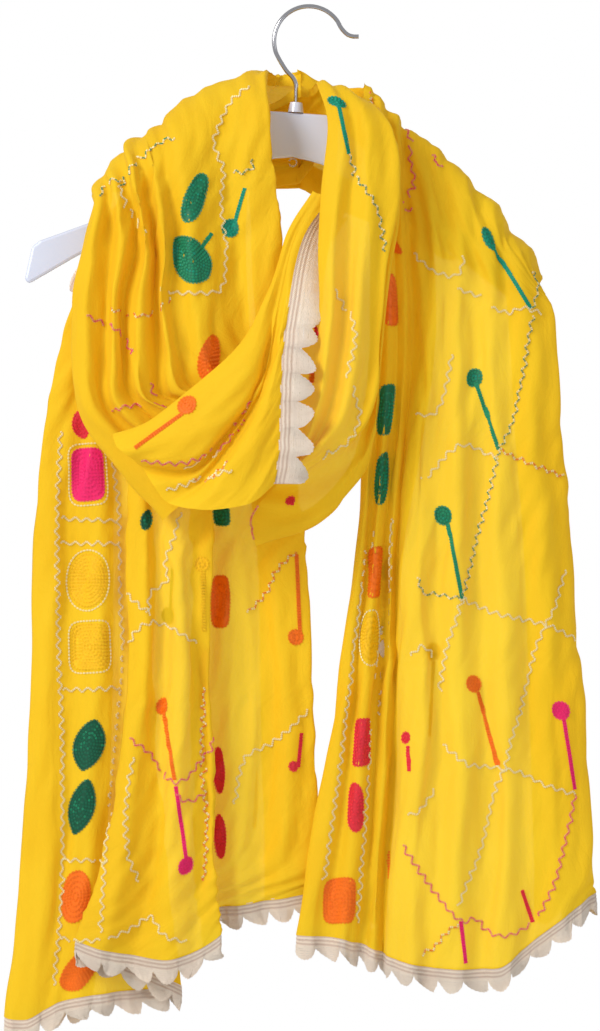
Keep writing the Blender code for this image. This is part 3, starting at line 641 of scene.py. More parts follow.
# The two tails are the ends of the stole.  Each passes over an arm of the hanger and falls to an
# uneven hem; the left one hangs in two panels with a fold tucked in behind them.
TAIL_LEFT_SPREAD = (0.35, 0.6, 1.0, 1.0, 1.0, 1.0)
TAIL_LEFT_FORWARD = (-12.0, -8.0, 0.0, 0.0, 0.0, 0.0)
TAIL_RIGHT_SPREAD = (0.5, 0.7, 1.0, 1.0, 1.0, 1.0)
TAIL_RIGHT_FORWARD = (-14.0, -9.0, 0.0, 0.0, 0.0, 0.0)
TAIL_LEFT_CREST_Y, TAIL_RIGHT_CREST_Y = 3.0, 8.0
TAIL_LEFT_CUT, TAIL_RIGHT_CUT = (0.31, 0.82), (0.29, 0.8)
TAIL_CRINKLE = 0.65
TAIL_LEFT_CREASES = (
    # x and z of the upper end, x and z of the lower end, height, half width
    (-127, -390, -133, -600, -4.4, 5),
    (-108, -440, -120, -700, 3.4, 7),
    (-95, -500, -92, -740, -4.2, 5),
    (-122, -560, -136, -744, -3.2, 5),
    (-146, -520, -166, -760, 3.0, 6),
    (-205, -330, -207, -560, -3.2, 8),
    (-188, -560, -208, -790, 3.0, 7),
    (-218, -420, -226, -660, 2.8, 6),
    (-60, -420, -56, -680, 3.4, 5),
    (-44, -440, -40, -690, -3.0, 4),
    (-30, -470, -24, -700, 3.0, 5),
    (-12, -500, -14, -690, -2.6, 4),
    (-120, -420, -98, -470, 2.6, 4),
    (-82, -410, -112, -500, -2.4, 5),
    (-178, -300, -186, -420, 2.4, 6),
    (-110, -600, -96, -690, 2.2, 4),
)
TAIL_RIGHT_CREASES = (
    (77, -130, 94, -240, -3.4, 5),
    (97, -200, 92, -440, 3.8, 6),
    (84, -250, 82, -440, -4.0, 4),
    (127, -230, 134, -420, -4.0, 6),
    (112, -300, 108, -500, 3.0, 6),
    (150, -330, 160, -560, 4.0, 7),
    (181, -300, 196, -600, -3.4, 7),
    (92, -440, 86, -690, -4.4, 5),
    (112, -520, 106, -760, 3.8, 6),
    (142, -560, 136, -760, -4.2, 6),
    (165, -560, 172, -744, 3.6, 7),
    (186, -520, 200, -700, -3.0, 6),
    (206, -500, 222, -700, 2.8, 6),
    (42, -480, 22, -700, 3.0, 5),
    (58, -420, 44, -600, -2.8, 4),
    (64, -560, 52, -740, -3.0, 4),
    (116, -130, 146, -226, 3.0, 6),
    (90, -108, 112, -200, -3.0, 5),
    (146, -160, 172, -250, 2.6, 6),
    (132, -150, 158, -240, -2.6, 4),
)

net = tail_net(
    TAIL_LEFT_FOLDS, LEFT_TAIL_RIDGE, INNER_NAPE, TAIL_LEFT_CREST_Y, -1,
    TAIL_LEFT_SPREAD, TAIL_LEFT_FORWARD,
)
left_points = creased(surface(net, TAIL_ALONG), TAIL_LEFT_CREASES, TAIL_CRINKLE, seed=3)
net = tail_net(
    TAIL_RIGHT_FOLDS, RIGHT_TAIL_RIDGE, OUTER_NAPE, TAIL_RIGHT_CREST_Y, 1,
    TAIL_RIGHT_SPREAD, TAIL_RIGHT_FORWARD,
)
right_points = creased(surface(net, TAIL_ALONG), TAIL_RIGHT_CREASES, TAIL_CRINKLE, seed=5)

# The loop: the left limb, the right limb that carries on round the bottom of the cowl, and the
# roll that comes out from under the right limb and fans out over the left one.
COWL_LEFT_SPREAD, COWL_LEFT_BASE = (1.0, 1.0, 1.0, 0.95, 0.85, 0.7), -24.0
COWL_RIGHT_SPREAD, COWL_RIGHT_BASE = (0.6, 0.9, 1.0, 1.0, 1.0, 1.0, 0.9, 0.8), -34.0
ROLL_SPREAD = (0.0, 0.05, 0.2, 0.7, 1.0, 1.0, 0.97)
ROLL_BASE = (-40.0, -43.0, -50.0, -58.0, -62.0, -62.0, -62.0)
ROLL_CLOSED_STEP, ROLL_CLOSED_MOST = 2.5, 8.0
COWL_LEFT_CREST_Y, COWL_RIGHT_CREST_Y = 3.0, -20.0
LIMB_CRINKLE, PANEL_CRINKLE, ROLL_CRINKLE = 0.8, 0.6, 0.5
COWL_LEFT_ALONG = (18, 14, 14, 18, 14, 14, 12, 12, 14)
COWL_RIGHT_ALONG = (12, 10, 12, 18, 16, 16, 16, 14, 12, 14)
ROLL_ALONG = (14, 16, 16, 16, 12, 12)
COWL_LEFT_CUT, COWL_RIGHT_CUT, ROLL_CUT = (0.23, 0.43), (0.12, 0.42), (0.085, 0.28)
COWL_LEFT_CREASES = (
    (-60, -72, -92, -150, -2.2, 5),
    (-90, -90, -120, -160, 2.0, 5),
    (-118, -112, -146, -180, -2.0, 5),
    (-70, -150, -66, -230, 1.8, 4),
    (-165, -200, -168, -300, -1.6, 4),
    (-104, -215, -98, -290, -1.8, 4),
    (-40, -90, -52, -180, 1.6, 4),
)
COWL_RIGHT_CREASES = (
    (30, -120, 26, -330, 1.4, 4),
    (50, -130, 44, -300, -1.6, 4),
    (60, -330, 10, -372, 1.5, 4),
    (52, -362, 0, -405, -1.8, 5),
    (30, -398, -28, -418, 1.6, 4),
)
ROLL_CREASES = (
    (-30, -300, -100, -352, 1.6, 4),
    (-24, -268, -70, -330, -1.6, 4),
    (-40, -330, -80, -395, 1.4, 4),
    (-20, -220, -38, -290, -1.4, 4),
)

net = cowl_side_net(
    COWL_LEFT_FOLDS, LEFT_COWL_RIDGE, OUTER_NAPE, COWL_LEFT_CREST_Y, -1,
    COWL_LEFT_SPREAD, COWL_LEFT_BASE, with_brow=True,
)
limb_points = creased(surface(net, COWL_LEFT_ALONG), COWL_LEFT_CREASES, LIMB_CRINKLE, seed=11)
net = cowl_side_net(
    COWL_RIGHT_FOLDS, RIGHT_COWL_RIDGE, INNER_NAPE, COWL_RIGHT_CREST_Y, 1,
    COWL_RIGHT_SPREAD, COWL_RIGHT_BASE, with_brow=False,
)
panel_points = creased(surface(net, COWL_RIGHT_ALONG), COWL_RIGHT_CREASES, PANEL_CRINKLE, seed=13)
roll_points = creased(surface(roll_net(), ROLL_ALONG), ROLL_CREASES, ROLL_CRINKLE, seed=17)

CLOTHS = (
    # piece, its grid, the solid that it stands for, its cut in metres
    ("georgette_tail_left", left_points, "tail_left", TAIL_LEFT_CUT),
    ("georgette_tail_right", right_points, "tail_right", TAIL_RIGHT_CUT),
    ("georgette_limb", limb_points, "cowl_left", COWL_LEFT_CUT),
    ("georgette_panel", panel_points, "cowl_right", COWL_RIGHT_CUT),
    ("georgette_roll", roll_points, "cowl_roll", ROLL_CUT),
)
for name, points, node, cut in CLOTHS:
    sewn_piece(name, points, georgette, node)

# Crocheted cotton lace is sewn along the stole's edges: a close band of about 8 mm, then fans of
# radiating stitches that end in small picots.
BAND_WIDTH, FAN_PITCH, FAN_HEIGHT, FAN_ROUNDNESS = 8.5, 22.0, 10.0, 0.55
LACE_LAP = 1.2              # how far it is sewn onto the cloth
LACE_ACROSS = 22            # cells from the seam to the tips
LACE_STEP = 0.9             # length of a cell along the seam
RIBS, RIB_HEIGHT, PICOTS, PICOT_REACH = 15, 0.5, 9, 1.0
FAN_CURL, FAN_LEAN = 4.5, 5.0     # how far the tips of the fans curl and lean, at most
FAN_SKEW = 1.45             # each fan bulges towards the end of the seam
RIB_ROOT, RIB_START = 3.0, 2.0    # the fan's ribs spread from above its foot and start below it
BAND_CORDS = 3
LACE_COWL_HEIGHTS, LACE_COWL_BACK = (-250, -170), (0.06, 0.7)
SIDE_LACE_BEHIND, SHOULDER_LACE_OUT, HEM_LACE_SLOPE = 1.6, 0.5, 0.25
COWL_LACE_SHARE = 1.35      # it is stretched where it turns back
FANS_JOIN = (-268, -256)    # and its fans are gathered together above here
SIDE_LACE_SHARE, SHOULDER_LACE_SHARE = 0.7, 0.45    # these are seen edge on
SHOULDER_LACE_CELLS = 8
SIDE_LACE_AWAY, SHOULDER_LACE_AWAY = (-1.0, 0.1, 0.0), (-1.0, 0.0, 0.0)
SIDE_LACE_FROM, SHOULDER_LACE_FROM = 6, 3      # stretches of TAIL_ALONG above each
HANG_CELLS = 3              # the hem hangs the way that its last cells point
LEAST_LACE_CELLS = 8

lace_look, tree, shader = new_look("crochet")
finish = uneven_in(
    tree, scale=60.0, detail=5.0, Dark=(0.86, 0.68, 0.55, 1), Light=(0.98, 0.88, 0.74, 1)
)
places = add_node(tree, "TexCoord").outputs
down = add_node(tree, "SeparateXYZ", {0: places["UV"]})
band = add_node(tree, "MapRange", {
    "Value": down.outputs["Y"], "From Min": 0.092, "From Max": 0.1, "To Min": 1.0, "To Max": 0.0,
})
cord = add_node(
    tree, "TexWave", {"Vector": places["UV"], "Scale": 9.8, "Distortion": 0.4}, bands_direction="Y"
)
corded = add_node(
    tree, "Math", {0: band.outputs["Result"], 1: cord.outputs["Fac"]}, operation="MULTIPLY"
)
tan = add_node(
    tree, "Mix", {"Factor": corded.outputs[0], "A": finish["Colour"], "B": (0.70, 0.52, 0.41, 1)},
    data_type="RGBA",
)
strands = add_node(
    tree, "TexWave", {"Vector": places["UV"], "Scale": 30.0, "Distortion": 3.0},
    bands_direction="DIAGONAL",
)
give(tree, shader, {
    "Base Color": tan.outputs["Result"], "Roughness": 0.85, "Sheen Weight": 0.2,
    "Normal": bumped(tree, strands.outputs["Fac"], strength=0.6, distance=0.0008),
})
stitch_holes = add_node(
    tree, "TexVoronoi", {"Vector": places["UV"], "Scale": 52.0, "Randomness": 0.35}
)
opening = add_node(tree, "MapRange", {
    "Value": stitch_holes.outputs["Distance"], "From Min": 0.1, "From Max": 0.18, "To Min": 0.75,
    "To Max": 0.0,
})
gap = add_node(tree, "BsdfTransparent")
crochet = shaders_mixed(tree, shader, gap, opening.outputs["Result"])
give(tree, tree.nodes["Material Output"], {"Surface": crochet.outputs[0]})


def read(line, run, places):
    """A line's values at these distances along it; run is the distance of each of its points."""
    return np.stack([np.interp(places, run, values) for values in line.T], axis=1)


def lace_piece(name, node, seam, outward, share=1.0, joined=(1.0, 2.0)):
    """Lace along a seam line; outward points away from the cloth at each point of the seam.

    Between the two heights of joined the fans run together.
    """
    outward = np.broadcast_to(outward, seam.shape)
    run = travelled(seam)
    length = run[-1]
    pitch = length / max(1, round(length / FAN_PITCH))
    places = np.linspace(0, length, max(LEAST_LACE_CELLS, int(length / LACE_STEP)))
    line, away = read(seam, run, places), unit(read(outward, run, places))
    face = unit(np.cross(np.gradient(line, axis=0), away))
    random = np.random.default_rng(len(name))
    share_of_fan = (places % pitch) / pitch
    fan = np.sin(np.pi * share_of_fan**FAN_SKEW) ** FAN_ROUNDNESS
    fan = np.maximum(fan, np.interp(line[:, 2], joined, (0.0, 1.0)))
    picots = PICOT_REACH * np.abs(np.sin(np.pi * PICOTS * share_of_fan))
    reach = share * (BAND_WIDTH + FAN_HEIGHT * fan + picots)
    down = np.linspace(0, 1, LACE_ACROSS + 1)
    rows = (reach[:, None] + LACE_LAP) * down - LACE_LAP
    inside = np.clip(rows - share * BAND_WIDTH, 0, None)
    sideways = (share_of_fan[:, None] - 0.5) * pitch
    angle = np.arctan2(sideways, inside + RIB_ROOT)
    ribs = np.abs(np.cos(angle * RIBS)) * np.clip(inside / RIB_START, 0, 1)
    cords = np.abs(np.sin(np.pi * rows / (share * BAND_WIDTH) * BAND_CORDS)) * (inside <= 0)
    which = np.minimum((places // pitch).astype(int), round(length / pitch) - 1)
    curl, lean = random.uniform(-1, 1, (2, which.max() + 1))[:, which]
    bend = (inside / (share * FAN_HEIGHT)) ** 2
    lift = RIB_HEIGHT * (ribs + cords) + FAN_CURL * curl[:, None] * bend
    drift = FAN_LEAN * lean[:, None] * bend
    points = line[:, None] + away[:, None] * rows[..., None] + face[:, None] * lift[..., None]
    points = points + unit(np.gradient(line, axis=0))[:, None] * drift[..., None]
    return sewn_piece(name, points, lace_look, node)


def fold_line(points, folds, name):
    """The line of the cloth's grid that runs along this fold."""
    return points[[row[0] for row in folds].index(name) * ACROSS]


def hem_lace(name, node, tail):
    """Lace along a tail's hem, hanging on from the cloth."""
    hang = unit(tail[:, -1] - tail[:, -1 - HANG_CELLS])
    return lace_piece(name, node, tail[:, -1], HEM_LACE_SLOPE * hang + (0.0, 0.0, -1.0))


hem_left = hem_lace("crochet_hem_left", "lace_hem_left", left_points)
hem_right = hem_lace("crochet_hem_right", "lace_hem_right", right_points)
fold = fold_line(right_points, TAIL_RIGHT_FOLDS, "lace_hollow")
seam = fold[sum(TAIL_ALONG[:SIDE_LACE_FROM]) :] + (0.0, SIDE_LACE_BEHIND, 0.0)
side_lace = lace_piece("crochet_side", "lace_side_right", seam, SIDE_LACE_AWAY, SIDE_LACE_SHARE)
fold = fold_line(left_points, TAIL_LEFT_FOLDS, "outer_turn")
brow = sum(TAIL_ALONG[:SHOULDER_LACE_FROM]) + TAIL_ALONG[SHOULDER_LACE_FROM] // 2
seam = fold[brow : brow + SHOULDER_LACE_CELLS] - (SHOULDER_LACE_OUT, 0.0, 0.0)
shoulder_lace = lace_piece(
    "crochet_shoulder", "lace_shoulder", seam, SHOULDER_LACE_AWAY, SHOULDER_LACE_SHARE
)
seam = roll_points[-1]
turned_back = np.interp(seam[:, 2], LACE_COWL_HEIGHTS, LACE_COWL_BACK)
outward = np.stack([np.ones(len(seam)), turned_back, np.zeros(len(seam))], axis=1)
cowl_lace = lace_piece("crochet_cowl", "lace_cowl", seam, outward, COWL_LACE_SHARE, FANS_JOIN)

# The embroidery is chain stitch in bright thread, worked in close rows that follow each shape's
# outline: pins with round heads, leaves, discs and blocks, with lines of gold thread between them
# that step in small zigzags.  Each stitch is a pair of short raised lobes.
STITCH = 2.8                # length of a chain stitch
ROW = 2.1                   # from one row to the next
HALF_WIDTH, RISE, LIFT, PATCH_LIFT = 0.95, 0.7, 0.5, 0.3    # patches are the ground of a shape
STITCH_LOBE = (
    # a corner's place along the stitch, out to its side and up, as shares
    (0.0, 0.15, 0), (0.5, 1.0, 0), (1.08, 0.3, 0), (0.5, 0.1, 0), (0.5, 0.55, 1),
)
LOBE_FACES = ((0, 1, 4), (1, 2, 4), (2, 3, 4), (3, 0, 4))
LONGEST, LONGEST_IN_LINE = 7.0, 3.6     # no stitch spans more than this, over a fold
OVER_LIFT = 0.85            # a line of gold lies on a wider line of bronze
UNDER_WIDTH, OVER_WIDTH = 1.2, 0.85      # as shares of a stitch's width
WELD = 1e-5
PATCH_RINGS = (1.0, 0.8, 0.6, 0.4, 0.2, 0.0)      # rings of a shape's ground, as shares of it
STALK_ROWS = (-0.9, 0.0, 0.9)     # a stalk is three rows side by side
STALK_SIDES = (-1.4, 0.0, 1.4)    # on a ground of the same thread
STALK_STITCH, STALK_IN_HEAD = 0.8, 0.6      # shares of a stitch, and of the head's radius
LONGEST_IN_GROUND = 9.8     # a stalk's ground that spans more than this is left out
ZIGZAG, ZIGZAG_STEP = 4.0, 2.3      # reach and step of the gold lines' zigzag
SWINGS, SWING_SPREAD = (0.0, 0.5, 0.0, -0.5), (0.65, 1.2)      # to one side and then the other
STREAKED = 0.15             # share of the stitches in a shape that are of its second thread
EDGE_OUT, EDGE_WIDTH = 2.6, 0.8     # a gold edge: how far out, and its share of a stitch's width
OUTLINE_STEPS, LINE_CELLS = 72, 8
DYE_DARKEST, DYE_LIGHTEST = 0.88, 1.25
NEAREST, NEAR_SHARE, FAR_WEIGHT = 4.0, 1.2, 0.6      # how the cloth at a place is looked for
FLATTEST, FURTHEST_STEP = 0.15, 1.5      # and how far the place may lie from the grid's own
JUST_INSIDE = 1.001         # of a grid's last place
TWIST = 4                   # stitches of a gold line before its two threads come round again
THREADS = (
    # name, colour, and how dark the ground between its rows is painted, as a share: painted shade
    ("gold", (1.0, 0.80, 0.44), 0.8),
    ("green", (0.012, 0.27, 0.13), 0.5),
    ("teal", (0.004, 0.30, 0.19), 0.6),
    ("leaf", (0.004, 0.14, 0.07), 0.5),
    ("pink", (0.95, 0.02, 0.17), 0.8),
    ("red", (0.82, 0.03, 0.05), 0.75),
    ("orange", (0.99, 0.18, 0.005), 0.85),
    ("amber", (0.99, 0.54, 0.006), 0.88),
    ("rose", (0.90, 0.22, 0.18), 0.8),
    ("bronze", (0.90, 0.56, 0.20), 0.8),
)
GOLD, BRONZE = 0, 9
MIXES = {
    # colour of a motif: its thread and the one that streaks it, by their places in THREADS
    "green": (1, 2), "leaf": (3, 1), "pink": (4, 4), "red": (5, 5), "orange": (6, 6),
    "amber": (7, 7), "gold": (0, 0), "gold_green": (0, 1), "gold_pink": (8, 4),
    "gold_orange": (0, 6), "teal": (2, 1),
}
PINS = (
    # cloth, then of each pin: x and z of the head, x and z of the foot, radius of the head, colour
    ("tail_right", (
        (144, -188, 177, -243, 7.5, "teal"),
        (132, -298, 151, -355, 7.0, "green"),
        (110, -410, 122, -474, 7.5, "green"),
        (134, -545, 151, -607, 6.5, "orange"),
        (203, -566, 213, -627, 7.0, "pink"),
        (79, -589, 80, -612, 4.5, "red"),
        (121, -731, 125, -765, 0.0, "pink"),
        (170, -707, 179, -733, 0.0, "red"),
    )),
    ("tail_left", (
        (-117, -561, -107, -618, 6.5, "orange"),
        (-97, -689, -106, -623, 7.0, "pink"),
        (-148, -568, -158, -631, 4.5, "red"),
        (-7, -507, -10, -439, 6.0, "orange"),
        (-9, -613, -6, -583, 4.0, "red"),
        (-85, -447, -84, -500, 5.5, "amber"),
    )),
    ("cowl_left", (
        (-61, -182, -51, -148, 7.0, "teal"),
        (-77, -184, -85, -196, 0.0, "green"),
    )),
    ("cowl_right", (
        (23, -80, 31, -123, 6.5, "teal"),
    )),
    ("cowl_roll", (
        (-95, -325, -136, -355, 7.5, "orange"),
    )),
    ("cowl_right", (
        (-17, -398, -12, -398, 3.5, "red"),
        (5, -262, 4, -270, 3.5, "red"),
        (2, -296, 1, -303, 3.5, "orange"),
    )),
)
BLOCKS = (
    # cloth, then of each: x and z of the middle, half width, half height, degrees, outline, colour
    ("tail_left", (
        (-178, -378, 14, 21, 3, "block", "pink"),
        (-176, -461, 16, 21, 0, "disc", "amber"),
        (-174, -516, 16, 18, 2, "block", "amber"),
        (-176, -592, 13, 21, -12, "leaf", "leaf"),
        (-182, -642, 11, 23, -14, "leaf", "leaf"),
        (-185, -717, 12, 21, 6, "disc", "orange"),
        (-183, -775, 15, 15, 20, "leaf", "orange"),
        (-181, -336, 7, 12, 20, "leaf", "red"),
        (-69, -408, 7, 8, 0, "block", "green"),
        (-70, -477, 8, 21, 0, "block", "orange"),
        (-77, -533, 9, 18, 0, "disc", "orange"),
        (-71, -617, 5, 19, 0, "disc", "red"),
        (-71, -667, 5, 18, 0, "disc", "red"),
        (-128, -412, 5, 9, -20, "leaf", "leaf"),
    )),
    ("tail_right", (
        (66, -189, 6, 14, 0, "block", "orange"),
        (66, -238, 7, 21, 0, "block", "orange"),
        (63, -323, 8, 20, 0, "block", "green"),
        (62, -379, 10, 21, 0, "disc", "green"),
        (56, -455, 10, 20, 6, "block", "orange"),
        (53, -507, 10, 18, 8, "disc", "amber"),
        (44, -592, 10, 19, 0, "block", "red"),
        (37, -643, 8, 20, 8, "disc", "red"),
        (25, -717, 14, 18, 4, "block", "orange"),
    )),
    ("cowl_left", (
        (-90, -158, 9, 20, -18, "disc", "green"),
        (-93, -207, 17, 23, 40, "leaf", "green"),
        (-78, -284, 12, 16, 0, "disc", "orange"),
    )),
)
LINES = (
    # cloth, then of each line: its colour, and x and z of the points that it steps through
    ("tail_right", (
        ("gold", (83, -198), (100, -213), (118, -216), (124, -201)),
        ("gold", (118, -227), (137, -233)),
        ("gold", (145, -242), (160, -246), (170, -242), (186, -246)),
        ("gold_green", (180, -211), (183, -224), (180, -236), (177, -244)),
        ("gold_green", (178, -248), (174, -273), (172, -289), (167, -313), (163, -332),
         (151, -355)),
        ("gold_green", (151, -355), (144, -390), (136, -420), (122, -474)),
        ("gold", (114, -279), (108, -309), (100, -326), (85, -327)),
        ("gold_orange", (151, -355), (176, -366), (204, -376)),
        ("gold", (151, -362), (120, -352), (93, -379)),
        ("gold", (122, -474), (117, -491), (112, -507), (108, -523), (104, -548)),
        ("gold_green", (86, -457), (92, -469), (104, -471), (122, -474)),
        ("gold", (122, -474), (150, -486), (169, -490), (189, -495), (215, -507)),
        ("gold", (205, -451), (197, -479), (189, -495), (181, -515), (175, -539), (169, -563)),
        ("gold", (169, -563), (161, -587), (157, -607), (149, -627), (143, -651), (137, -675),
         (119, -719)),
        ("gold", (107, -591), (117, -599), (129, -607), (157, -610), (173, -615), (189, -623),
         (213, -631)),
        ("gold_pink", (75, -671), (85, -687), (102, -711), (121, -731), (133, -730), (141, -739)),
        ("gold_pink", (141, -739), (153, -743), (165, -741), (177, -735)),
        ("gold_pink", (213, -631), (209, -651), (203, -675), (197, -699), (184, -728)),
        ("gold", (79, -647), (89, -643), (101, -627)),
        ("gold_orange", (119, -733), (108, -742), (101, -752), (90, -758)),
        ("gold_pink", (77, -98), (82, -109), (80, -122), (83, -139), (78, -156), (81, -166)),
        ("gold_pink", (98, -119), (106, -131)),
        ("gold_orange", (47, -72), (57, -88), (64, -104), (68, -118)),
        ("gold", (50, -420), (38, -500), (26, -600), (12, -700)),
        ("gold", (66, -410), (62, -480), (54, -560), (48, -640), (40, -735)),
        ("gold", (82, -520), (90, -512), (100, -520)),
    )),
    ("tail_left", (
        ("gold", (-199, -340), (-202, -412), (-201, -508), (-198, -604), (-199, -716),
         (-205, -785)),
        ("gold", (-158, -360), (-153, -412), (-152, -480), (-150, -530), (-160, -640),
         (-166, -740)),
        ("gold", (-199, -410), (-155, -412)),
        ("gold", (-199, -430), (-153, -430)),
        ("gold", (-198, -548), (-152, -546)),
        ("gold", (-199, -685), (-162, -683)),
        ("gold", (-199, -748), (-166, -746)),
        ("gold", (-102, -405), (-108, -426), (-115, -445), (-113, -459), (-126, -470),
         (-128, -485)),
        ("gold", (-126, -492), (-137, -499), (-144, -510)),
        ("gold", (-126, -492), (-108, -498), (-90, -510)),
        ("gold", (-146, -470), (-137, -478), (-126, -486)),
        ("gold_pink", (-143, -585), (-128, -597), (-114, -617), (-99, -618), (-84, -600),
         (-76, -585)),
        ("gold_pink", (-106, -630), (-96, -636), (-84, -630)),
        ("gold", (-140, -600), (-146, -640), (-144, -678), (-136, -700)),
        ("gold", (-160, -745), (-140, -736), (-126, -728), (-116, -742), (-98, -748)),
        ("gold", (-60, -640), (-52, -604), (-28, -590), (0, -565)),
        ("gold_orange", (-50, -486), (-34, -470), (-26, -452), (-10, -437)),
        ("gold_orange", (-84, -545), (-86, -600), (-82, -660), (-84, -700)),
    )),
    ("cowl_right", (
        ("gold_green", (31, -123), (38, -142), (54, -168), (60, -200)),
        ("gold", (20, -230), (36, -262), (30, -300)),
    )),
    ("cowl_left", (
        ("gold_green", (-106, -108), (-117, -110), (-134, -125), (-143, -135), (-150, -148)),
        ("gold_green", (-149, -142), (-160, -143), (-166, -154)),
        ("gold", (-150, -148), (-145, -160), (-137, -175), (-131, -191)),
        ("gold", (-48, -64), (-62, -77), (-72, -98), (-76, -113), (-68, -134), (-70, -160),
         (-66, -192)),
        ("gold", (-66, -192), (-70, -227), (-96, -232), (-122, -228)),
        ("gold_green", (-60, -136), (-46, -133), (-45, -125)),
        ("gold_orange", (-160, -244), (-130, -250), (-108, -236)),
        ("gold_pink", (-157, -325), (-142, -321), (-133, -319)),
        ("gold_pink", (-126, -303), (-122, -314), (-111, -323)),
        ("gold_pink", (-176, -250), (-150, -262), (-140, -280)),
    )),
    ("cowl_right", (
        ("gold_pink", (-44, -400), (-56, -408), (-46, -416), (-50, -428)),
        ("gold", (34, -306), (40, -330), (30, -350), (14, -362)),
    )),
    ("cowl_roll", (
        ("gold_pink", (-130, -366), (-96, -366), (-66, -352), (-44, -318)),
        ("gold", (-112, -388), (-86, -380), (-60, -372)),
        ("gold", (-97, -372), (-84, -366), (-70, -358)),
        ("gold_orange", (-92, -381), (-78, -378), (-64, -366)),
    )),
)
BACK_PINS = (
    # pins on the hidden side
    ("tail_right", (
        (90, -300, 84, -362, 7.0, "green"),
        (190, -458, 188, -497, 6.5, "orange"),
        (100, -520, 96, -584, 7.0, "amber"),
        (60, -640, 66, -700, 6.5, "orange"),
    )),
    ("tail_left", (
        (-175, -330, -170, -392, 7.0, "orange"),
        (-111, -490, -109, -450, 6.5, "green"),
        (-172, -560, -176, -622, 7.0, "pink"),
        (-40, -600, -44, -660, 6.5, "amber"),
    )),
)
OUTLINE_POWERS = {"leaf": (1.6, 1.0), "disc": (2 / 2.2, 2 / 2.2), "block": (0.4, 0.4)}
EDGED = ("amber", "pink")   # these have a line of gold round them

random = np.random.default_rng(seed=29)


def at(values, u, v):
    """Values of a grid at these places between its points."""
    u = np.clip(u, 0, values.shape[0] - JUST_INSIDE)
    v = np.clip(v, 0, values.shape[1] - JUST_INSIDE)
    i, j = u.astype(int), v.astype(int)
    s, t = (u - i)[:, None], (v - j)[:, None]
    near = (1 - t) * values[i, j] + t * values[i, j + 1]
    return (1 - s) * near + s * ((1 - t) * values[i + 1, j] + t * values[i + 1, j + 1])


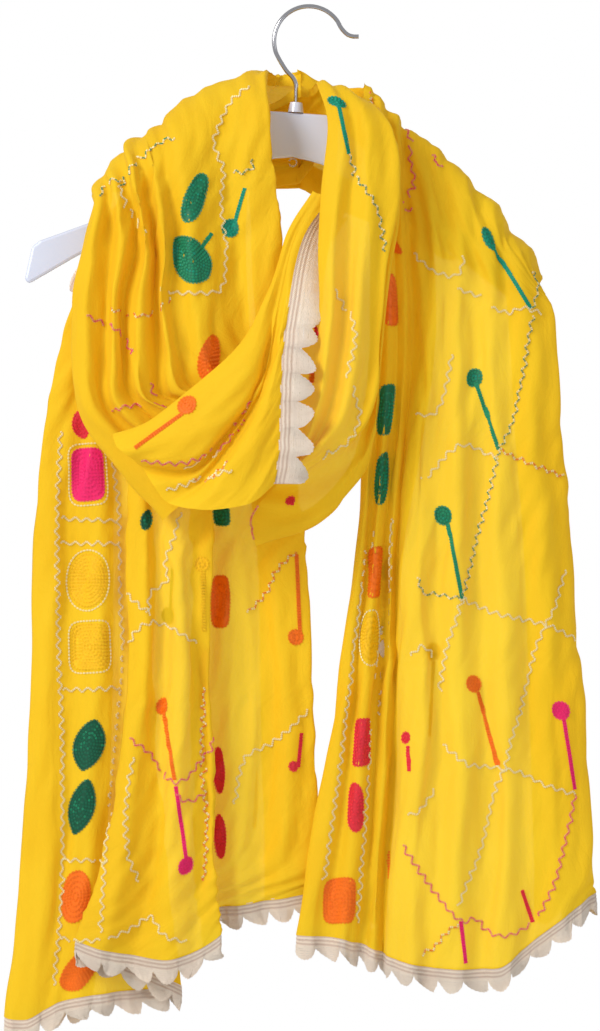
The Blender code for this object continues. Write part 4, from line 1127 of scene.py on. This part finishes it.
class Stitching:
    """Stitches of one cloth, gathered and then made into one mesh."""

    def __init__(self, points):
        self.points, self.normals = points, normals_of(points)
        self.across, self.along = travelled(points, 0), travelled(points, 1)
        self.starts, self.ends, self.ups, self.threads, self.widths = [], [], [], [], []
        self.patches = []

    def places_at(self, xz, behind=False):
        """Grid places of the frontmost cloth at these x and z, or of the rearmost."""
        points = self.points
        found = []
        for x, z in xz:
            far = np.hypot(points[..., 0] - x, points[..., 2] - z)
            reach = max(NEAREST, NEAR_SHARE * far.min())
            depth = (-1 if behind else 1) * points[..., 1] + FAR_WEIGHT * far
            depth = np.where(far < reach, depth, np.inf)
            i, j = np.unravel_index(np.argmin(depth), depth.shape)
            i, j = min(max(i, 1), points.shape[0] - 2), min(max(j, 1), points.shape[1] - 2)
            along_u = (points[i + 1, j] - points[i - 1, j])[[0, 2]] / 2
            along_v = (points[i, j + 1] - points[i, j - 1])[[0, 2]] / 2
            offset = np.array((x, z)) - points[i, j][[0, 2]]
            basis = np.stack([along_u, along_v], axis=1)
            step = np.zeros(2)
            if abs(np.linalg.det(basis)) > FLATTEST:
                step = np.clip(np.linalg.solve(basis, offset), -FURTHEST_STEP, FURTHEST_STEP)
            found.append((i + step[0], j + step[1]))
        return np.array(found)

    def laid(self, middle, shape):
        """Grid places of a flat shape laid on the cloth: right and up from its middle."""
        i, j = int(middle[0]), int(middle[1])
        right = np.gradient(self.points[:, j], axis=0)[i]
        down = np.gradient(self.points[i], axis=0)[j]
        right, down = right / np.linalg.norm(right), down / np.linalg.norm(down)
        turn = np.array(((right[0], down[0]), (right[2], down[2])))
        measures = shape @ (turn / np.maximum(np.linalg.norm(turn, axis=0), TINY))
        count_u, count_v = self.points.shape[:2]
        v = np.interp(self.along[i, j] + measures[:, 1], self.along[i], np.arange(count_v))
        u = np.empty(len(shape))
        for k, row in enumerate(v.astype(int)):
            place = self.across[i, row] + measures[k, 0]
            u[k] = np.interp(place, self.across[:, row], np.arange(count_u))
        return np.stack([u, v], axis=1)

    def raised(self, places, height):
        """Points at this height off the cloth."""
        return at(self.points, *places.T) + height * at(self.normals, *places.T)

    def facing(self, place, behind=False):
        """1 where the cloth's normal there points to the viewer's side, or else -1."""
        up = at(self.normals, *np.array([place]).T)[0]
        return math.copysign(1.0, up[1]) if behind else -math.copysign(1.0, up[1])

    def add(self, places, sign, thread, width=HALF_WIDTH, closed=False, lift=LIFT, longest=LONGEST):
        """One stitch between each two of these grid places, or all round them."""
        ends = np.roll(places, -1, axis=0) if closed else places[1:]
        starts = places if closed else places[:-1]
        if not len(starts):
            return
        start, end = at(self.points, *starts.T), at(self.points, *ends.T)
        up = sign * at(self.normals, *((starts + ends) / 2).T)
        good = np.linalg.norm(end - start, axis=1) < longest
        self.starts.append((start + lift * up)[good])
        self.ends.append((end + lift * up)[good])
        self.ups.append(up[good])
        self.threads.append(np.broadcast_to(thread, len(start))[good])
        self.widths.append(np.full(good.sum(), width))

    def lay(self, ground, corner, sign, look):
        """A patch of thread under the stitches; corner is the grid place of its first point."""
        up = sign * at(self.normals, *corner[:, None])[0]
        turn = np.cross(ground[1, 0] - ground[0, 0], ground[0, 1] - ground[0, 0])
        self.patches.append((ground if turn @ up > 0 else ground[::-1], look))

    def mesh(self, name):
        """All its stitches and patches as one mesh."""
        start, end = np.concatenate(self.starts), np.concatenate(self.ends)
        up, width = np.concatenate(self.ups), np.concatenate(self.widths)[:, None]
        run = end - start
        side = unit(np.cross(up, run)) * width
        corners = []
        for lobe in (-1.0, 1.0):
            for ahead, out, above in STITCH_LOBE:
                corners.append(start + ahead * run + out * lobe * side + above * (up * RISE))
        points = np.stack(corners, axis=1).reshape(-1, 3) * MM
        one = np.array(LOBE_FACES)
        pair = np.concatenate([one, one[:, ::-1] + len(STITCH_LOBE)])
        faces = (np.arange(len(start))[:, None, None] * 2 * len(STITCH_LOBE) + pair).reshape(-1, 3)
        mesh = bpy.data.meshes.new(name)
        mesh.from_pydata(points.tolist(), [], faces.tolist())
        threads = np.repeat(np.concatenate(self.threads), len(pair)).astype(np.int32)
        mesh.polygons.foreach_set("material_index", threads)
        whole = bmesh.new()
        whole.from_mesh(mesh)
        for points, look in self.patches:
            patch = mesh_of(name, points)
            looks = np.full(len(patch.polygons), look, np.int32)
            patch.polygons.foreach_set("material_index", looks)
            sewn = bmesh.new()
            sewn.from_mesh(patch)
            bmesh.ops.remove_doubles(sewn, verts=sewn.verts, dist=WELD)
            sewn.to_mesh(patch)
            sewn.free()
            whole.from_mesh(patch)
            bpy.data.meshes.remove(patch)
        whole.to_mesh(mesh)
        whole.free()
        for look in thread_looks + shaded_ground_looks:
            mesh.materials.append(look)
        mesh.shade_smooth()
        mesh.update()
        return mesh


def resampled(line, step, closed=False):
    """The line's points, a step apart."""
    line = np.concatenate([line, line[:1]]) if closed else line
    run = travelled(line)
    found = read(line, run, np.linspace(0, run[-1], max(2, round(run[-1] / step)) + 1))
    return found[:-1] if closed else found


def outline_of(kind, half_width, half_height, degrees):
    """Outline of a leaf, disc or block, round its middle."""
    turn = np.linspace(0, 2 * np.pi, OUTLINE_STEPS, endpoint=False)
    across, upright = (
        half * np.sign(share) * np.abs(share) ** power
        for half, share, power in zip(
            (half_width, half_height), (np.cos(turn), np.sin(turn)), OUTLINE_POWERS[kind]
        )
    )
    lean = math.radians(degrees)
    turned = np.array(((math.cos(lean), math.sin(lean)), (-math.sin(lean), math.cos(lean))))
    return np.stack([across, upright], axis=1) @ turned


def fill(work, middle, shape, half, colour, sign):
    """Close rows of stitches inside an outline, parallel to it, on a ground in painted shade."""
    main, streak = MIXES[colour]
    around = np.concatenate([resampled(shape, STITCH, True), shape[:1]])
    rings = [work.laid(middle, around * share) for share in PATCH_RINGS]
    ground = np.stack([work.raised(ring, sign * PATCH_LIFT) for ring in rings], axis=1)
    # The ground takes the thread's darker copy: painted shade between the rows.
    work.lay(ground, rings[0][0], sign, len(THREADS) + main)
    rings = max(1, int(half / ROW))
    for ring in range(rings):
        row = resampled(shape * (1.0 - ring / rings), STITCH, True)
        threads = np.where(random.random(len(row)) < STREAKED, streak, main)
        work.add(work.laid(middle, row), sign, threads, closed=True)


def draw_pin(work, x, z, foot_x, foot_z, radius, colour, behind=False):
    """A pin: a round head and a straight stalk, which may lie on the hidden side."""
    head, foot = np.array((x, z), float), np.array((foot_x, foot_z), float)
    run = foot - head
    start = head + STALK_IN_HEAD * run * radius / np.linalg.norm(run)
    across = np.array((-run[1], run[0])) / np.linalg.norm(run)
    middle_line = np.array([start, foot])
    for shift in STALK_ROWS:
        stalk = resampled(middle_line + shift * across, STITCH * STALK_STITCH)
        stalk = work.places_at(stalk, behind)
        sign = work.facing(stalk[len(stalk) // 2], behind)
        work.add(stalk, sign, MIXES[colour][0])
    sides = []
    for shift in STALK_SIDES:
        side = work.places_at(resampled(middle_line + shift * across, STITCH), behind)
        sides.append(work.raised(side, sign * PATCH_LIFT))
    ground = np.stack(sides, axis=0)
    if np.linalg.norm(np.diff(ground, axis=1), axis=2).max() < LONGEST_IN_GROUND:
        work.lay(ground, side[0], sign, MIXES[colour][0])
    if radius:
        middle = work.places_at([head], behind)[0]
        fill(work, middle, outline_of("disc", radius, radius, 0), radius, colour, sign)


def draw_block(work, x, z, half_width, half_height, degrees, kind, colour):
    """A leaf, disc or block, some with a line of gold round it."""
    middle = work.places_at([(x, z)])[0]
    sign = work.facing(middle)
    shape = outline_of(kind, half_width, half_height, degrees)
    half = min(half_width, half_height)
    fill(work, middle, shape, half, colour, sign)
    if colour in EDGED:
        edge = work.laid(middle, resampled(shape * (1 + EDGE_OUT / half), STITCH, True))
        work.add(edge, sign, GOLD, EDGE_WIDTH * HALF_WIDTH, closed=True)


def draw_line(work, colour, route):
    """A line of gold that steps in small zigzags, over a wider line of bronze."""
    line = resampled(catmull_rom(route, LINE_CELLS), ZIGZAG_STEP)
    run = np.gradient(line, axis=0)
    swing = np.resize(SWINGS, len(line))[:, None]
    swing = swing * random.uniform(*SWING_SPREAD, swing.shape)
    side = unit(np.stack([-run[:, 1], run[:, 0]], axis=1))
    path = work.places_at(line + ZIGZAG * swing * side)
    sign = work.facing(path[len(path) // 2])
    halfway = (path[:-1] + path[1:]) / 2
    path = np.concatenate([np.stack([path[:-1], halfway], axis=1).reshape(-1, 2), path[-1:]])
    main, twist = MIXES[colour]
    threads = np.where(np.arange(len(path) - 1) % TWIST >= TWIST // 2, twist, main)
    under, over = UNDER_WIDTH * HALF_WIDTH, OVER_WIDTH * HALF_WIDTH
    work.add(path, sign, BRONZE, under, lift=PATCH_LIFT, longest=LONGEST_IN_LINE)
    work.add(path, sign, threads, over, lift=OVER_LIFT, longest=LONGEST_IN_LINE)


def thread_look(name, colour):
    """Bright spun thread of this colour."""
    look, tree, shader = new_look(f"thread_{name}")
    dark = (*[DYE_DARKEST * c for c in colour], 1)
    light = (*[min(1.0, DYE_LIGHTEST * c) for c in colour], 1)
    finish = uneven_in(tree, scale=500.0, Dark=dark, Light=light)
    inputs = {"Base Color": finish["Colour"], "Roughness": 0.5, "Specular IOR Level": 0.28}
    give(tree, shader, inputs)
    return look


thread_looks = [thread_look(name, colour) for name, colour, shade in THREADS]
# Darker copies of each thread for the ground under a shape's rows: painted shade between the rows.
shaded_ground_looks = [
    thread_look(f"{name}_ground", [shade * c for c in colour]) for name, colour, shade in THREADS
]

works = {node: Stitching(points) for name, points, node, cut in CLOTHS}
for table, behind in ((PINS, False), (BACK_PINS, True)):
    for cloth, pins in table:
        for pin in pins:
            draw_pin(works[cloth], *pin, behind)
for cloth, blocks in BLOCKS:
    for block in blocks:
        draw_block(works[cloth], *block)
for cloth, lines in LINES:
    for colour, *route in lines:
        draw_line(works[cloth], colour, route)

stitched = {}
for node, work in works.items():
    name = f"embroidery_{node}"
    stitched[node] = put(name, work.mesh(name))
    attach(stitched[node], "root")
